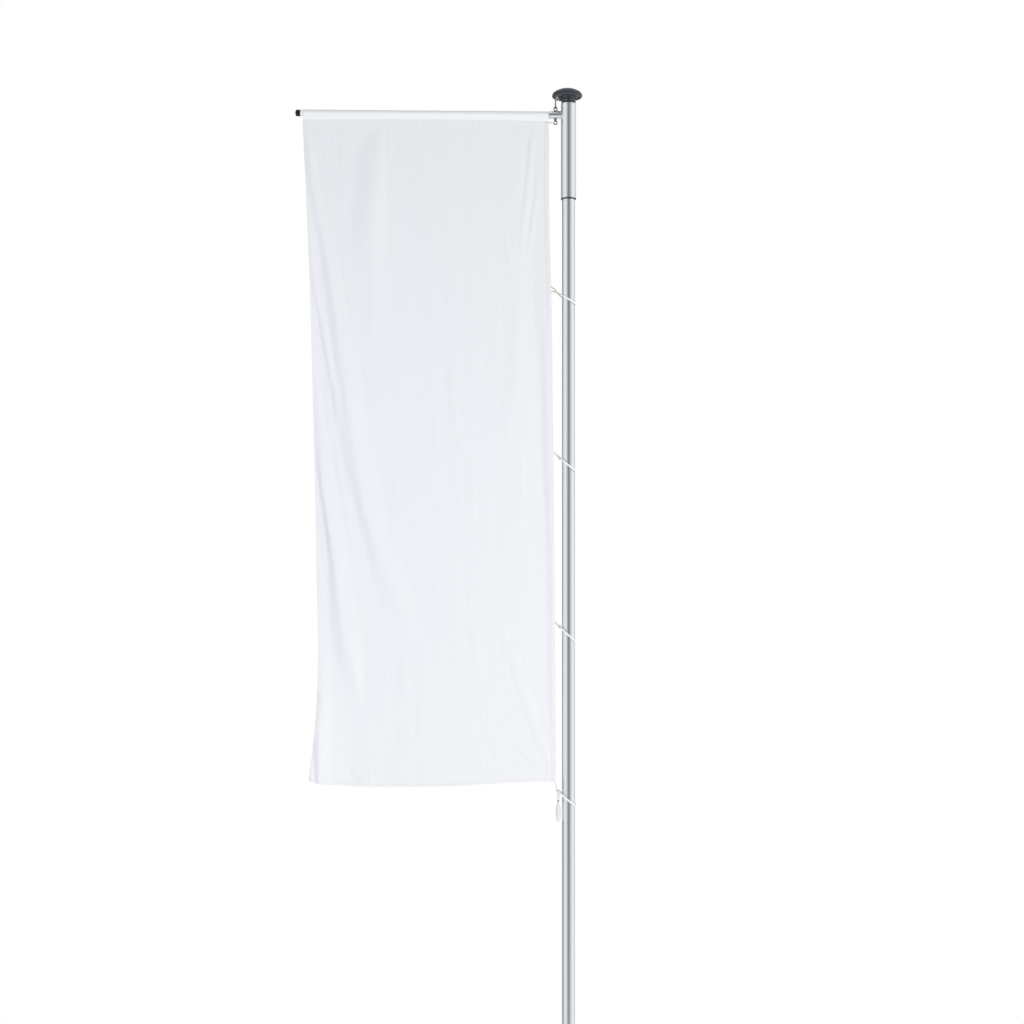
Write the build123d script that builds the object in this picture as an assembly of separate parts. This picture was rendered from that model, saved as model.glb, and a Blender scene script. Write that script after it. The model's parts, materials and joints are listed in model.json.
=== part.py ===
from build123d import *
import os
from math import asin, atan2, cos, degrees, radians, sin, tan

# A round aluminium flagpole with a swivelling mushroom head and a hoisted boom that carries a
# tall white banner.  Millimetres, +Z up.  The origin is on the foot's flat face, at ground
# level on the pole's axis.  The boom points along -X.

# ---------------------------------------------------------------- driving dimensions
RUNNING_CLEARANCE = 0.3
CORD_GAP = 0.2
CUT_PAST = 10.0

POLE_OUTER_RADIUS = 39.0
POLE_WALL = 3.0
POLE_TOP_Z = 7902.0

FOOT_PLUG_HEIGHT = 40.0
GROUND_SLEEVE_RADIUS = 47.5
GROUND_SLEEVE_WALL = 4.0
GROUND_SLEEVE_HEIGHT = 60.0
WEDGE_BOTTOM_Z = 42.0
WEDGE_LIP_HEIGHT = 6.0
WEDGE_LIP_INSET = 0.5
WEDGE_LIP_TAPER = 2.0
LOCK_SCREW_RADIUS = 5.0
LOCK_SCREW_Z = 22.0
LOCK_SCREW_COUNT = 3
LOCK_SCREW_SOCKET_RADIUS = 2.6
LOCK_SCREW_SOCKET_DEPTH = 3.5
LOCK_SCREW_RECESS = 0.5

# the cap sits a little off the pole's axis, towards the boom
CAP_OFFSET_X = -8.0
CAP_RADIUS = 90.5
CAP_TOP_Z = 7996.0
CAP_WIDEST_Z = 7950.0
CAP_SHOULDER_ROUND = 27.0
CAP_BOTTOM_Z = 7941.0
CAP_LIP_OUTER_RADIUS = 80.0
CAP_LIP_INNER_RADIUS = 76.0
CAP_RECESS_RADIUS = 74.0
CAP_CEILING_Z = 7953.0
NECK_RADIUS = 43.0
NECK_TOP_RADIUS = 47.0
NECK_BOTTOM_Z = 7910.0
NECK_FLARE_Z = 7935.0

BEARING_BOTTOM_Z = 7828.0
BEARING_FLANGE_RADIUS = 38.8
BEARING_CLEARANCE = 0.5
PIVOT_PIN_RADIUS = 12.0

PULLEY_Z = 7930.0
PULLEY_GROOVE_RADIUS = 6.7
PULLEY_GROOVE_HALF_WIDTH = 2.0
PULLEY_FLANGE_RADIUS = 10.0
PULLEY_FLANGE_THICKNESS = 1.0
PULLEY_HALF_WIDTH = 5.0
PULLEY_AXLE_RADIUS = 3.0
PULLEY_AXLE_HEAD_RADIUS = 5.0
PULLEY_AXLE_HEAD_HEIGHT = 2.0
CHEEK_INNER_Y = 6.0
CHEEK_THICKNESS = 2.0
CHEEK_HALF_LENGTH = 7.0
CHEEK_DROP = 7.0

HALYARD_RADIUS = 3.0
HALYARD_X = -78.0
HALYARD_WRAP_RADIUS = 10.0
HALYARD_LOOP_MAJOR = 6.5
HALYARD_LOOP_MINOR = 2.5
NECK_HOLE_RADIUS = 4.0
NECK_HOLE_END_X = -30.0
HALYARD_TOP_END_X = -31.0

SLEEVE_OUTER_RADIUS = 45.0
SLEEVE_WALL = 2.5
SLEEVE_BOTTOM_Z = 7337.0
SLEEVE_TOP_Z = 7905.0
SLEEVE_CHAMFER = 1.5
GLIDE_RING_RADIUS = 39.3
GLIDE_RING_HEIGHT = 40.0
GLIDE_RIM_HEIGHT = 7.0

BOOM_RADIUS = 18.0
BOOM_WALL = 2.0
BOOM_Z = 7837.4
BOOM_RISE = 0.47
BOOM_INNER_X = -48.0
BOOM_OUTER_X = -1608.0
SOCKET_RADIUS = 23.0
SOCKET_INNER_X = -20.0
SOCKET_OUTER_X = -117.0
END_CAP_RADIUS = 19.5
END_CAP_LENGTH = 31.0
END_CAP_DOME = 6.0
END_CAP_PLUG = 15.0

# the eye bolt's ring is turned a little about the bolt, and its centre is this far above the socket
EYE_BOLT_MAJOR = 11.0
EYE_BOLT_MINOR = 3.7
EYE_BOLT_RISE = 12.5
EYE_BOLT_TURN = 30.0
EYE_BOLT_SHANK_RADIUS = 4.0
EYE_BOLT_END_Z = 7806.0
EYE_NUT_MAJOR = 9.8
EYE_NUT_MINOR = 3.2
EYE_NUT_HEX_RADIUS = 7.6
EYE_NUT_Z = 7791.0

TUNNEL_LEFT_X = -1593.0
TUNNEL_RIGHT_X = -120.0
TUNNEL_LEFT_SEAM_Z = 7803.0
TUNNEL_RIGHT_SEAM_Z = 7799.0
TUNNEL_THICKNESS = 2.0
TUNNEL_SEAM_HALF_WIDTH = 2.0
BANNER_HALF_THICKNESS = 1.0
BAND_WIDTH = 25.0
BAND_HALF_THICKNESS = 2.0

# the banner's three free edges, as (x, z)
BANNER_LEFT_EDGE = [
    (-1596, TUNNEL_LEFT_SEAM_Z), (-1569, 7280), (-1545, 6632), (-1527, 5912),
    (-1509, 5048), (-1503, 4500), (-1521, 4184), (-1563, 3840),
]
BANNER_BOTTOM_EDGE = [(-1563, 3840), (-1383, 3830), (-1287, 3812), (-900, 3812), (-519, 3824)]
BANNER_MAST_EDGE = [
    (-117, TUNNEL_RIGHT_SEAM_Z), (-116, 7280), (-105, 6848), (-93, 6000), (-83, 4900), (-76, 3842),
]

CORD_RADIUS = 2.5
LOOP_CORD_RADIUS = 4.0
LOOP_CLEAR_RADIUS = 44.2

# each mast loop: height of its centre, slope in degrees, reach towards the banner
MAST_LOOPS = [(6727.0, 31.0, 51.0), (5735.0, 39.5, 51.0), (4719.0, 43.0, 51.0), (3731.5, 40.0, 61.5)]
# each clip on the first three loops: slope in degrees, and where its tie meets the banner's edge
# as (middle height, half spread)
CLIPS = [(41.0, 6797.0, 15.0), (46.6, 5818.0, 7.0), (43.0, 4797.0, 6.5)]
TIE_RADIUS = 1.8
TIE_BEND = 4.0
TIE_APEX_HALF = 5.0
TIE_SEAM = 5.0
CLIP_LENGTH = 32.0
CLIP_BODY_HALF_WIDTH = 6.5
CLIP_BODY_HALF_LENGTH = 11.0
CLIP_THICKNESS = 7.0
CLIP_EDGE = 2.0
CLIP_EYE_MAJOR = 6.9
CLIP_EYE_MINOR = 2.2
CLIP_HOOK_MAJOR = 5.0
CLIP_HOOK_MINOR = 1.8

CORNER_RING_MAJOR = 9.8
CORNER_RING_MINOR = 2.4
CORNER_RING_DROP = 2.6
CORNER_KNOT_RADIUS = 5.5
CORNER_KNOT_ANGLE = 45.0
CORNER_CORD_INSET = 8.0
CORNER_CORD_RISE = 5.0
WEIGHT_HOOK_MAJOR = 5.8
WEIGHT_HOOK_MINOR = 1.6
WEIGHT_LOOP_MAJOR = 5.0
WEIGHT_LOOP_MINOR = 1.8
WEIGHT_LOOP_DROP = 6.3
WEIGHT_RADIUS = 14.5
WEIGHT_LENGTH = 121.0
WEIGHT_WIDEST = 56.0
WEIGHT_TIP_RADIUS = 9.5
WEIGHT_TIP_HEIGHT = 7.0
WEIGHT_NECK_RADIUS = 4.5
WEIGHT_NECK_LENGTH = 9.0

# ---------------------------------------------------------------- derived places
POLE_BORE = POLE_OUTER_RADIUS - POLE_WALL
GROUND_SLEEVE_BORE = GROUND_SLEEVE_RADIUS - GROUND_SLEEVE_WALL
SLEEVE_BORE = SLEEVE_OUTER_RADIUS - SLEEVE_WALL
BOOM_BORE = BOOM_RADIUS - BOOM_WALL
PULLEY_X = HALYARD_X + HALYARD_WRAP_RADIUS
ROPE_ENTRY_Z = PULLEY_Z + HALYARD_WRAP_RADIUS
CHEEK_OUTER_Y = CHEEK_INNER_Y + CHEEK_THICKNESS
CHEEK_BOTTOM_Z = PULLEY_Z - CHEEK_DROP
EYE_BOLT_Z = BOOM_Z + SOCKET_RADIUS + EYE_BOLT_RISE
HALYARD_LOOP_Z = EYE_BOLT_Z + EYE_BOLT_MAJOR
HALYARD_END_Z = HALYARD_LOOP_Z + HALYARD_LOOP_MAJOR + HALYARD_LOOP_MINOR
LAST_LOOP_Z, LAST_LOOP_SLOPE, LAST_LOOP_REACH = MAST_LOOPS[3]
CORNER_RING_X = -LAST_LOOP_REACH
CORNER_RING_Z = LAST_LOOP_Z + LAST_LOOP_REACH * tan(radians(LAST_LOOP_SLOPE)) - CORNER_RING_DROP
WEIGHT_CLIP_Z = CORNER_RING_Z - CORNER_RING_MAJOR - CLIP_LENGTH

STANDING = (Align.CENTER, Align.CENTER, Align.MIN)
ACROSS = Rot(90, 0, 0)

os.makedirs("parts", exist_ok=True)


# ---------------------------------------------------------------- helpers
def rod(radius, bottom_z, top_z):
    return Pos(0, 0, bottom_z) * Cylinder(radius, top_z - bottom_z, align=STANDING)


def tube(outer_radius, inner_radius, bottom_z, top_z):
    return rod(outer_radius, bottom_z, top_z) - rod(inner_radius, bottom_z, top_z)


def turned(*profile):
    """A body turned about Z from a closed (radius, z) outline of curves."""
    return revolve(Plane.XZ * make_face(profile), Axis.Z)


def straight_rod(radius, start, end):
    line = Vector(*end) - Vector(*start)
    foot = Plane(origin=start, z_dir=line)
    return extrude(foot * Circle(radius), line.length)


def swept(path, radius):
    section = Plane(origin=path @ 0, z_dir=path % 0) * Circle(radius)
    return sweep(section, path=path)


def face_ring(major, minor, x, z):
    """A ring that lies in the XZ plane, so its hole runs along Y."""
    return Pos(x, 0, z) * ACROSS * Torus(major, minor)


def long_ring(place, right_end, left_end, half_width, radius):
    """A closed ring of cord with two straight runs and two half-round ends, in one plane."""
    right_centre = right_end - half_width
    left_centre = half_width - left_end
    runs = [
        place * Pos(left_centre, side * half_width, 0) * Rot(0, 90, 0)
        * Cylinder(radius, right_centre - left_centre, align=STANDING)
        for side in (-1, 1)
    ]
    section_plane = Plane(origin=(0, -half_width, 0), z_dir=(1, 0, 0))
    half = revolve(section_plane * Circle(radius), Axis.Z, 180)
    right = place * Pos(right_centre, 0, 0) * half
    left = place * Pos(left_centre, 0, 0) * Rot(0, 0, 180) * half
    return runs[0] + right + runs[1] + left


def dome_arc(radius, base_z, height):
    """The round line of a shallow dome, from its rim to its top on the axis."""
    sphere = (radius**2 + height**2) / (2 * height)
    half_angle = asin(radius / sphere) / 2
    middle = (sphere * sin(half_angle), base_z + height - sphere * (1 - cos(half_angle)))
    return ThreePointArc((radius, base_z), middle, (0, base_z + height))


def bulge(wide_radius, wide_z, end_radius, end_z):
    """A long curve that leaves the widest point upright and ends at a smaller radius."""
    drop = end_z - wide_z
    step = wide_radius - end_radius
    curve = (step**2 + drop**2) / (2 * step)
    half_angle = asin(drop / curve) / 2
    middle = (wide_radius - curve * (1 - cos(half_angle)), wide_z + curve * sin(half_angle))
    return ThreePointArc((wide_radius, wide_z), middle, (end_radius, end_z))


def export(name, shape):
    export_step(shape, f"parts/{name}.step")


# ---------------------------------------------------------------- the mast
def pole_tube():
    return tube(POLE_OUTER_RADIUS, POLE_BORE, 0, POLE_TOP_Z)


def foot_plug():
    return rod(POLE_BORE, 0, FOOT_PLUG_HEIGHT)


def around_sleeve(shape):
    return [Rot(0, 0, 360 / LOCK_SCREW_COUNT * i + 90) * shape for i in range(LOCK_SCREW_COUNT)]


def ground_sleeve():
    sleeve = tube(GROUND_SLEEVE_RADIUS, GROUND_SLEEVE_BORE, 0, GROUND_SLEEVE_HEIGHT)
    hole = straight_rod(LOCK_SCREW_RADIUS, (POLE_OUTER_RADIUS, 0, LOCK_SCREW_Z),
                        (GROUND_SLEEVE_RADIUS + CUT_PAST, 0, LOCK_SCREW_Z))
    return sleeve - around_sleeve(hole)


def wedge_ring():
    body = tube(GROUND_SLEEVE_BORE, POLE_OUTER_RADIUS, WEDGE_BOTTOM_Z, GROUND_SLEEVE_HEIGHT)
    lip_top = GROUND_SLEEVE_HEIGHT + WEDGE_LIP_HEIGHT
    lip_radius = GROUND_SLEEVE_RADIUS - WEDGE_LIP_INSET
    lip = turned(Polyline((POLE_OUTER_RADIUS, GROUND_SLEEVE_HEIGHT), (lip_radius, GROUND_SLEEVE_HEIGHT),
                          (lip_radius - WEDGE_LIP_TAPER, lip_top), (POLE_OUTER_RADIUS, lip_top),
                          close=True))
    return body + lip


def locking_screws():
    outer = GROUND_SLEEVE_RADIUS - LOCK_SCREW_RECESS
    screw = straight_rod(LOCK_SCREW_RADIUS, (POLE_BORE, 0, LOCK_SCREW_Z), (outer, 0, LOCK_SCREW_Z))
    socket_plane = Plane(origin=(outer, 0, LOCK_SCREW_Z), z_dir=(-1, 0, 0))
    socket = extrude(socket_plane * RegularPolygon(LOCK_SCREW_SOCKET_RADIUS, 6), LOCK_SCREW_SOCKET_DEPTH)
    pole = rod(POLE_OUTER_RADIUS, 0, GROUND_SLEEVE_HEIGHT)
    return Compound(children=around_sleeve(screw - socket - pole))


def head_bearing():
    flange_top = NECK_BOTTOM_Z - BEARING_CLEARANCE
    body = rod(POLE_BORE, BEARING_BOTTOM_Z, POLE_TOP_Z) + rod(BEARING_FLANGE_RADIUS, POLE_TOP_Z, flange_top)
    return body - rod(PIVOT_PIN_RADIUS + RUNNING_CLEARANCE, BEARING_BOTTOM_Z, flange_top)


# ---------------------------------------------------------------- the swivelling head
def head_cap():
    """A mushroom: a tight round shoulder runs up into a wide round crown, over a shallow recess."""
    rise = CAP_TOP_Z - CAP_WIDEST_Z
    reach = CAP_RADIUS - CAP_SHOULDER_ROUND
    crown_radius = (reach**2 + rise**2 - CAP_SHOULDER_ROUND**2) / (2 * (rise - CAP_SHOULDER_ROUND))
    lean = degrees(atan2(reach, crown_radius - rise))
    crown = CenterArc((0, CAP_TOP_Z - crown_radius), crown_radius, 90 - lean, lean)
    shoulder = CenterArc((reach, CAP_WIDEST_Z), CAP_SHOULDER_ROUND, 0, 90 - lean)
    rim = TangentArc((CAP_RADIUS, CAP_WIDEST_Z), (CAP_LIP_OUTER_RADIUS, CAP_BOTTOM_Z), tangent=(0, -1))
    inside = Polyline((CAP_LIP_OUTER_RADIUS, CAP_BOTTOM_Z), (CAP_LIP_INNER_RADIUS, CAP_BOTTOM_Z),
                      (CAP_RECESS_RADIUS, CAP_CEILING_Z), (0, CAP_CEILING_Z), (0, CAP_TOP_Z))
    return Pos(CAP_OFFSET_X, 0, 0) * turned(crown, shoulder, rim, inside)


def head_neck():
    neck = turned(Polyline((0, NECK_BOTTOM_Z), (NECK_RADIUS, NECK_BOTTOM_Z), (NECK_RADIUS, NECK_FLARE_Z),
                           (NECK_TOP_RADIUS, CAP_CEILING_Z), (0, CAP_CEILING_Z), close=True))
    rope_hole = straight_rod(NECK_HOLE_RADIUS, (NECK_HOLE_END_X, 0, ROPE_ENTRY_Z),
                             (-NECK_TOP_RADIUS - CUT_PAST, 0, ROPE_ENTRY_Z))
    return neck - rope_hole


def head_spigot():
    return rod(PIVOT_PIN_RADIUS, BEARING_BOTTOM_Z, NECK_BOTTOM_Z)


def pulley_bracket():
    """An upside-down U that hangs from the cap's ceiling and holds the pulley's axle."""
    foot = Pos(PULLEY_X, 0, CHEEK_BOTTOM_Z)
    length = 2 * CHEEK_HALF_LENGTH
    height = CAP_CEILING_Z - CHEEK_BOTTOM_Z
    block = foot * Box(length, 2 * CHEEK_OUTER_Y, height, align=STANDING)
    gap = foot * Box(length, 2 * CHEEK_INNER_Y, height - CHEEK_THICKNESS, align=STANDING)
    axle_hole = Cylinder(PULLEY_AXLE_RADIUS, 2 * CHEEK_OUTER_Y)
    return block - gap - Pos(PULLEY_X, 0, PULLEY_Z) * ACROSS * axle_hole


def pulley_axle():
    axle = Cylinder(PULLEY_AXLE_RADIUS, 2 * CHEEK_OUTER_Y)
    head = Cylinder(PULLEY_AXLE_HEAD_RADIUS, PULLEY_AXLE_HEAD_HEIGHT, align=STANDING)
    near_head = Pos(0, 0, CHEEK_OUTER_Y) * head
    far_head = Pos(0, 0, -CHEEK_OUTER_Y - PULLEY_AXLE_HEAD_HEIGHT) * head
    return Pos(PULLEY_X, 0, PULLEY_Z) * ACROSS * (axle + near_head + far_head)


def guide_pulley():
    bore = PULLEY_AXLE_RADIUS + RUNNING_CLEARANCE
    side = PULLEY_HALF_WIDTH
    shoulder = side - PULLEY_FLANGE_THICKNESS
    groove = PULLEY_GROOVE_HALF_WIDTH
    wheel = turned(Polyline((bore, -side), (PULLEY_FLANGE_RADIUS, -side), (PULLEY_FLANGE_RADIUS, -shoulder),
                            (PULLEY_GROOVE_RADIUS, -groove), (PULLEY_GROOVE_RADIUS, groove),
                            (PULLEY_FLANGE_RADIUS, shoulder), (PULLEY_FLANGE_RADIUS, side), (bore, side),
                            close=True))
    return Pos(PULLEY_X, 0, PULLEY_Z) * ACROSS * wheel


def halyard_top():
    arc = CenterArc((PULLEY_X, PULLEY_Z), HALYARD_WRAP_RADIUS, 90, 90)
    run = Line((PULLEY_X, ROPE_ENTRY_Z), (HALYARD_TOP_END_X, ROPE_ENTRY_Z))
    return swept(Plane.XZ * Wire([arc.edge(), run.edge()]), HALYARD_RADIUS)


def halyard():
    return Pos(HALYARD_X, 0, 0) * rod(HALYARD_RADIUS, HALYARD_END_Z, PULLEY_Z)


# ---------------------------------------------------------------- the boom carrier
def carrier_sleeve():
    return turned(Polyline((SLEEVE_BORE, SLEEVE_BOTTOM_Z), (SLEEVE_OUTER_RADIUS, SLEEVE_BOTTOM_Z),
                           (SLEEVE_OUTER_RADIUS, SLEEVE_TOP_Z - SLEEVE_CHAMFER),
                           (SLEEVE_OUTER_RADIUS - SLEEVE_CHAMFER, SLEEVE_TOP_Z),
                           (SLEEVE_BORE, SLEEVE_TOP_Z), close=True))


def glide_ring_top():
    return tube(SLEEVE_BORE, GLIDE_RING_RADIUS, SLEEVE_TOP_Z - GLIDE_RING_HEIGHT, SLEEVE_TOP_Z)


def glide_ring_bottom():
    body = tube(SLEEVE_BORE, GLIDE_RING_RADIUS, SLEEVE_BOTTOM_Z, SLEEVE_BOTTOM_Z + GLIDE_RING_HEIGHT)
    rim = tube(SLEEVE_OUTER_RADIUS, GLIDE_RING_RADIUS, SLEEVE_BOTTOM_Z - GLIDE_RIM_HEIGHT, SLEEVE_BOTTOM_Z)
    return body + rim


def boom_point(x):
    """The boom's axis, which rises a little away from the pole."""
    return (x, 0, BOOM_Z + (HALYARD_X - x) * tan(radians(BOOM_RISE)))


def along_boom(radius, start_x, end_x):
    return straight_rod(radius, boom_point(start_x), boom_point(end_x))


def inside_sleeve():
    """All that the sleeve encloses, cut from what is welded to its side."""
    return rod(SLEEVE_OUTER_RADIUS, SLEEVE_BOTTOM_Z, SLEEVE_TOP_Z)


def socket_outside():
    return along_boom(SOCKET_RADIUS, SOCKET_INNER_X, SOCKET_OUTER_X)


def bolt_hole():
    return Pos(HALYARD_X, 0, 0) * rod(EYE_BOLT_SHANK_RADIUS, EYE_BOLT_END_Z, EYE_BOLT_Z)


def boom_socket():
    bore = along_boom(BOOM_RADIUS, 0, SOCKET_OUTER_X - CUT_PAST)
    return socket_outside() - bore - inside_sleeve() - bolt_hole()


def boom_tube():
    outer = along_boom(BOOM_RADIUS, BOOM_INNER_X, BOOM_OUTER_X)
    bore = along_boom(BOOM_BORE, 0, BOOM_OUTER_X - CUT_PAST)
    return outer - bore - inside_sleeve() - bolt_hole()


def boom_end_cap():
    outward = Vector(*boom_point(BOOM_OUTER_X)) - Vector(*boom_point(0))
    plane = Plane(origin=boom_point(BOOM_OUTER_X), x_dir=(0, 1, 0), z_dir=outward)
    flat = END_CAP_LENGTH - END_CAP_DOME
    side = Polyline((0, -END_CAP_PLUG), (BOOM_BORE, -END_CAP_PLUG), (BOOM_BORE, 0), (END_CAP_RADIUS, 0),
                    (END_CAP_RADIUS, flat))
    dome = dome_arc(END_CAP_RADIUS, flat, END_CAP_DOME)
    closing = Line((0, END_CAP_LENGTH), (0, -END_CAP_PLUG))
    return plane * turned(side, dome, closing)


def eye_bolt():
    ring = Rot(0, 0, EYE_BOLT_TURN) * face_ring(EYE_BOLT_MAJOR, EYE_BOLT_MINOR, 0, EYE_BOLT_Z)
    seated_ring = Pos(HALYARD_X, 0, 0) * ring - socket_outside()
    shank = rod(EYE_BOLT_SHANK_RADIUS, EYE_BOLT_END_Z, EYE_BOLT_Z - EYE_BOLT_MAJOR)
    return seated_ring + Pos(HALYARD_X, 0, 0) * shank


def eye_nut():
    ring = face_ring(EYE_NUT_MAJOR, EYE_NUT_MINOR, HALYARD_X, EYE_NUT_Z)
    bottom = EYE_NUT_Z + EYE_NUT_MAJOR
    hexagon = Pos(HALYARD_X, 0, bottom) * extrude(RegularPolygon(EYE_NUT_HEX_RADIUS, 6), BOOM_Z - bottom)
    return ring + (hexagon - bolt_hole()) - socket_outside()


def halyard_loop():
    turn = Rot(0, 0, EYE_BOLT_TURN) * Rot(0, 90, 0)
    return Pos(HALYARD_X, 0, HALYARD_LOOP_Z) * turn * Torus(HALYARD_LOOP_MAJOR, HALYARD_LOOP_MINOR)


# ---------------------------------------------------------------- the banner
def tunnel_section(x, seam_z):
    _, _, centre_z = boom_point(x)
    radius = BOOM_RADIUS + TUNNEL_THICKNESS
    half = TUNNEL_SEAM_HALF_WIDTH
    plane = Plane(origin=(x, 0, 0), x_dir=(0, 1, 0), z_dir=(1, 0, 0))
    crown = ThreePointArc((radius, centre_z), (0, centre_z + radius), (-radius, centre_z))
    skirt = Polyline((-radius, centre_z), (-half, seam_z), (half, seam_z), (radius, centre_z))
    return plane * make_face([crown, skirt])


def banner_tunnel():
    left = tunnel_section(TUNNEL_LEFT_X, TUNNEL_LEFT_SEAM_Z)
    right = tunnel_section(TUNNEL_RIGHT_X, TUNNEL_RIGHT_SEAM_Z)
    body = loft([left, right], ruled=True)
    return body - along_boom(BOOM_RADIUS, 0, BOOM_OUTER_X)


def mast_edge(shift):
    return Spline(*[(x + shift, z) for x, z in BANNER_MAST_EDGE])


def mast_edge_x(height):
    """Where the banner's mast edge is at one height."""
    for (upper_x, upper_z), (lower_x, lower_z) in zip(BANNER_MAST_EDGE, BANNER_MAST_EDGE[1:]):
        if height >= lower_z:
            return lower_x + (upper_x - lower_x) * (height - lower_z) / (upper_z - lower_z)
    return BANNER_MAST_EDGE[-1][0]


def sheet(outline, half_thickness):
    return extrude(Plane.XZ * make_face(outline), half_thickness, both=True)


def banner_panel():
    left = Spline(*BANNER_LEFT_EDGE)
    right = mast_edge(-BAND_WIDTH)
    bottom = Spline(*BANNER_BOTTOM_EDGE, right @ 1)
    top = Line(left @ 0, right @ 0)
    return sheet([left, bottom, right, top], BANNER_HALF_THICKNESS)


def banner_edge_band():
    inner = mast_edge(-BAND_WIDTH)
    outer = mast_edge(0)
    top = Line(inner @ 0, outer @ 0)
    bottom = Line(inner @ 1, outer @ 1)
    return sheet([inner, bottom, outer, top], BAND_HALF_THICKNESS)


def top_corner_cord():
    wire_x = HALYARD_X - EYE_NUT_MAJOR
    wrap_major = EYE_NUT_MINOR + CORD_RADIUS + CORD_GAP
    wrap = Pos(wire_x, 0, EYE_NUT_Z) * Torus(wrap_major, CORD_RADIUS)
    banner_x = BANNER_MAST_EDGE[0][0]
    run = straight_rod(CORD_RADIUS, (wire_x - wrap_major, 0, EYE_NUT_Z), (banner_x, 0, EYE_NUT_Z))
    return wrap + run


# ---------------------------------------------------------------- mast loops, clips and ties
def mast_loop(centre_z, slope, reach):
    place = Pos(0, 0, centre_z) * Rot(0, slope, 0)
    stretch = 1 / cos(radians(slope))
    return long_ring(place, LOOP_CLEAR_RADIUS * stretch, reach * stretch, LOOP_CLEAR_RADIUS,
                     LOOP_CORD_RADIUS)


def loop_end(centre_z, slope, reach):
    return (-reach, 0, centre_z + reach * tan(radians(slope)))


def snap_clip(hook_major, hook_minor):
    """A clip along +X, with its round eye at the origin and its hook at the far end."""
    eye = ACROSS * Torus(CLIP_EYE_MAJOR, CLIP_EYE_MINOR)
    body_end = CLIP_LENGTH - hook_major + hook_minor / 2
    body_centre = body_end - CLIP_BODY_HALF_LENGTH
    outline = Plane.XZ * Pos(body_centre, 0) * Ellipse(CLIP_BODY_HALF_LENGTH, CLIP_BODY_HALF_WIDTH)
    body = extrude(outline, CLIP_THICKNESS / 2, both=True)
    body = fillet(body.edges(), CLIP_EDGE)
    hook = Pos(CLIP_LENGTH, 0, 0) * Torus(hook_major, hook_minor)
    return eye + body + hook


def loop_clip(loop, clip):
    slope = clip[0]
    return Pos(*loop_end(*loop)) * Rot(0, slope - 180, 0) * snap_clip(CLIP_HOOK_MAJOR, CLIP_HOOK_MINOR)


def edge_tie(loop, clip, band):
    slope, middle_z, half_spread = clip
    angle = radians(slope)
    end_x, _, end_z = loop_end(*loop)
    apex_x = end_x - CLIP_LENGTH * cos(angle)
    apex_z = end_z + CLIP_LENGTH * sin(angle)
    side = (TIE_APEX_HALF * sin(angle), TIE_APEX_HALF * cos(angle))
    band_x = mast_edge_x(middle_z) - TIE_SEAM
    route = FilletPolyline(
        (band_x, middle_z + half_spread), (apex_x + side[0], apex_z + side[1]),
        (apex_x - side[0], apex_z - side[1]), (band_x, middle_z - half_spread), radius=TIE_BEND)
    return swept(Plane.XZ * route, TIE_RADIUS) - band


def corner_ring():
    return face_ring(CORNER_RING_MAJOR, CORNER_RING_MINOR, CORNER_RING_X, CORNER_RING_Z)


def bottom_corner_cord(ring, loop, band):
    angle = radians(CORNER_KNOT_ANGLE)
    knot_at = (CORNER_RING_X - CORNER_RING_MAJOR * cos(angle), 0,
               CORNER_RING_Z + CORNER_RING_MAJOR * sin(angle))
    corner_x, corner_z = BANNER_MAST_EDGE[-1]
    sewn_at = (corner_x - CORNER_CORD_INSET, 0, corner_z + CORNER_CORD_RISE)
    cord = straight_rod(CORD_RADIUS, knot_at, sewn_at)
    knot = Pos(*knot_at) * Sphere(CORNER_KNOT_RADIUS)
    return cord + knot - ring - loop - band


# ---------------------------------------------------------------- the hanging weight
def weight_clip():
    clip = snap_clip(WEIGHT_HOOK_MAJOR, WEIGHT_HOOK_MINOR)
    return Pos(CORNER_RING_X, 0, WEIGHT_CLIP_Z) * Rot(0, -90, 0) * clip


def counterweight():
    loop_z = WEIGHT_CLIP_Z - WEIGHT_LOOP_DROP
    neck_top = loop_z - WEIGHT_LOOP_MAJOR
    shoulder = neck_top - WEIGHT_NECK_LENGTH
    bottom = shoulder - WEIGHT_LENGTH
    widest = bottom + WEIGHT_WIDEST
    tip_base = bottom + WEIGHT_TIP_HEIGHT
    neck = Polyline((0, neck_top), (WEIGHT_NECK_RADIUS, neck_top), (WEIGHT_NECK_RADIUS, shoulder))
    flank = bulge(WEIGHT_RADIUS, widest, WEIGHT_NECK_RADIUS, shoulder)
    belly = bulge(WEIGHT_RADIUS, widest, WEIGHT_TIP_RADIUS, tip_base)
    tip = dome_arc(WEIGHT_TIP_RADIUS, tip_base, -WEIGHT_TIP_HEIGHT)
    body = turned(neck, flank, belly, tip, Line((0, bottom), (0, neck_top)))
    loop = Pos(0, 0, loop_z) * Rot(0, 90, 0) * Torus(WEIGHT_LOOP_MAJOR, WEIGHT_LOOP_MINOR)
    return Pos(CORNER_RING_X, 0, 0) * (body + loop)


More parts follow.
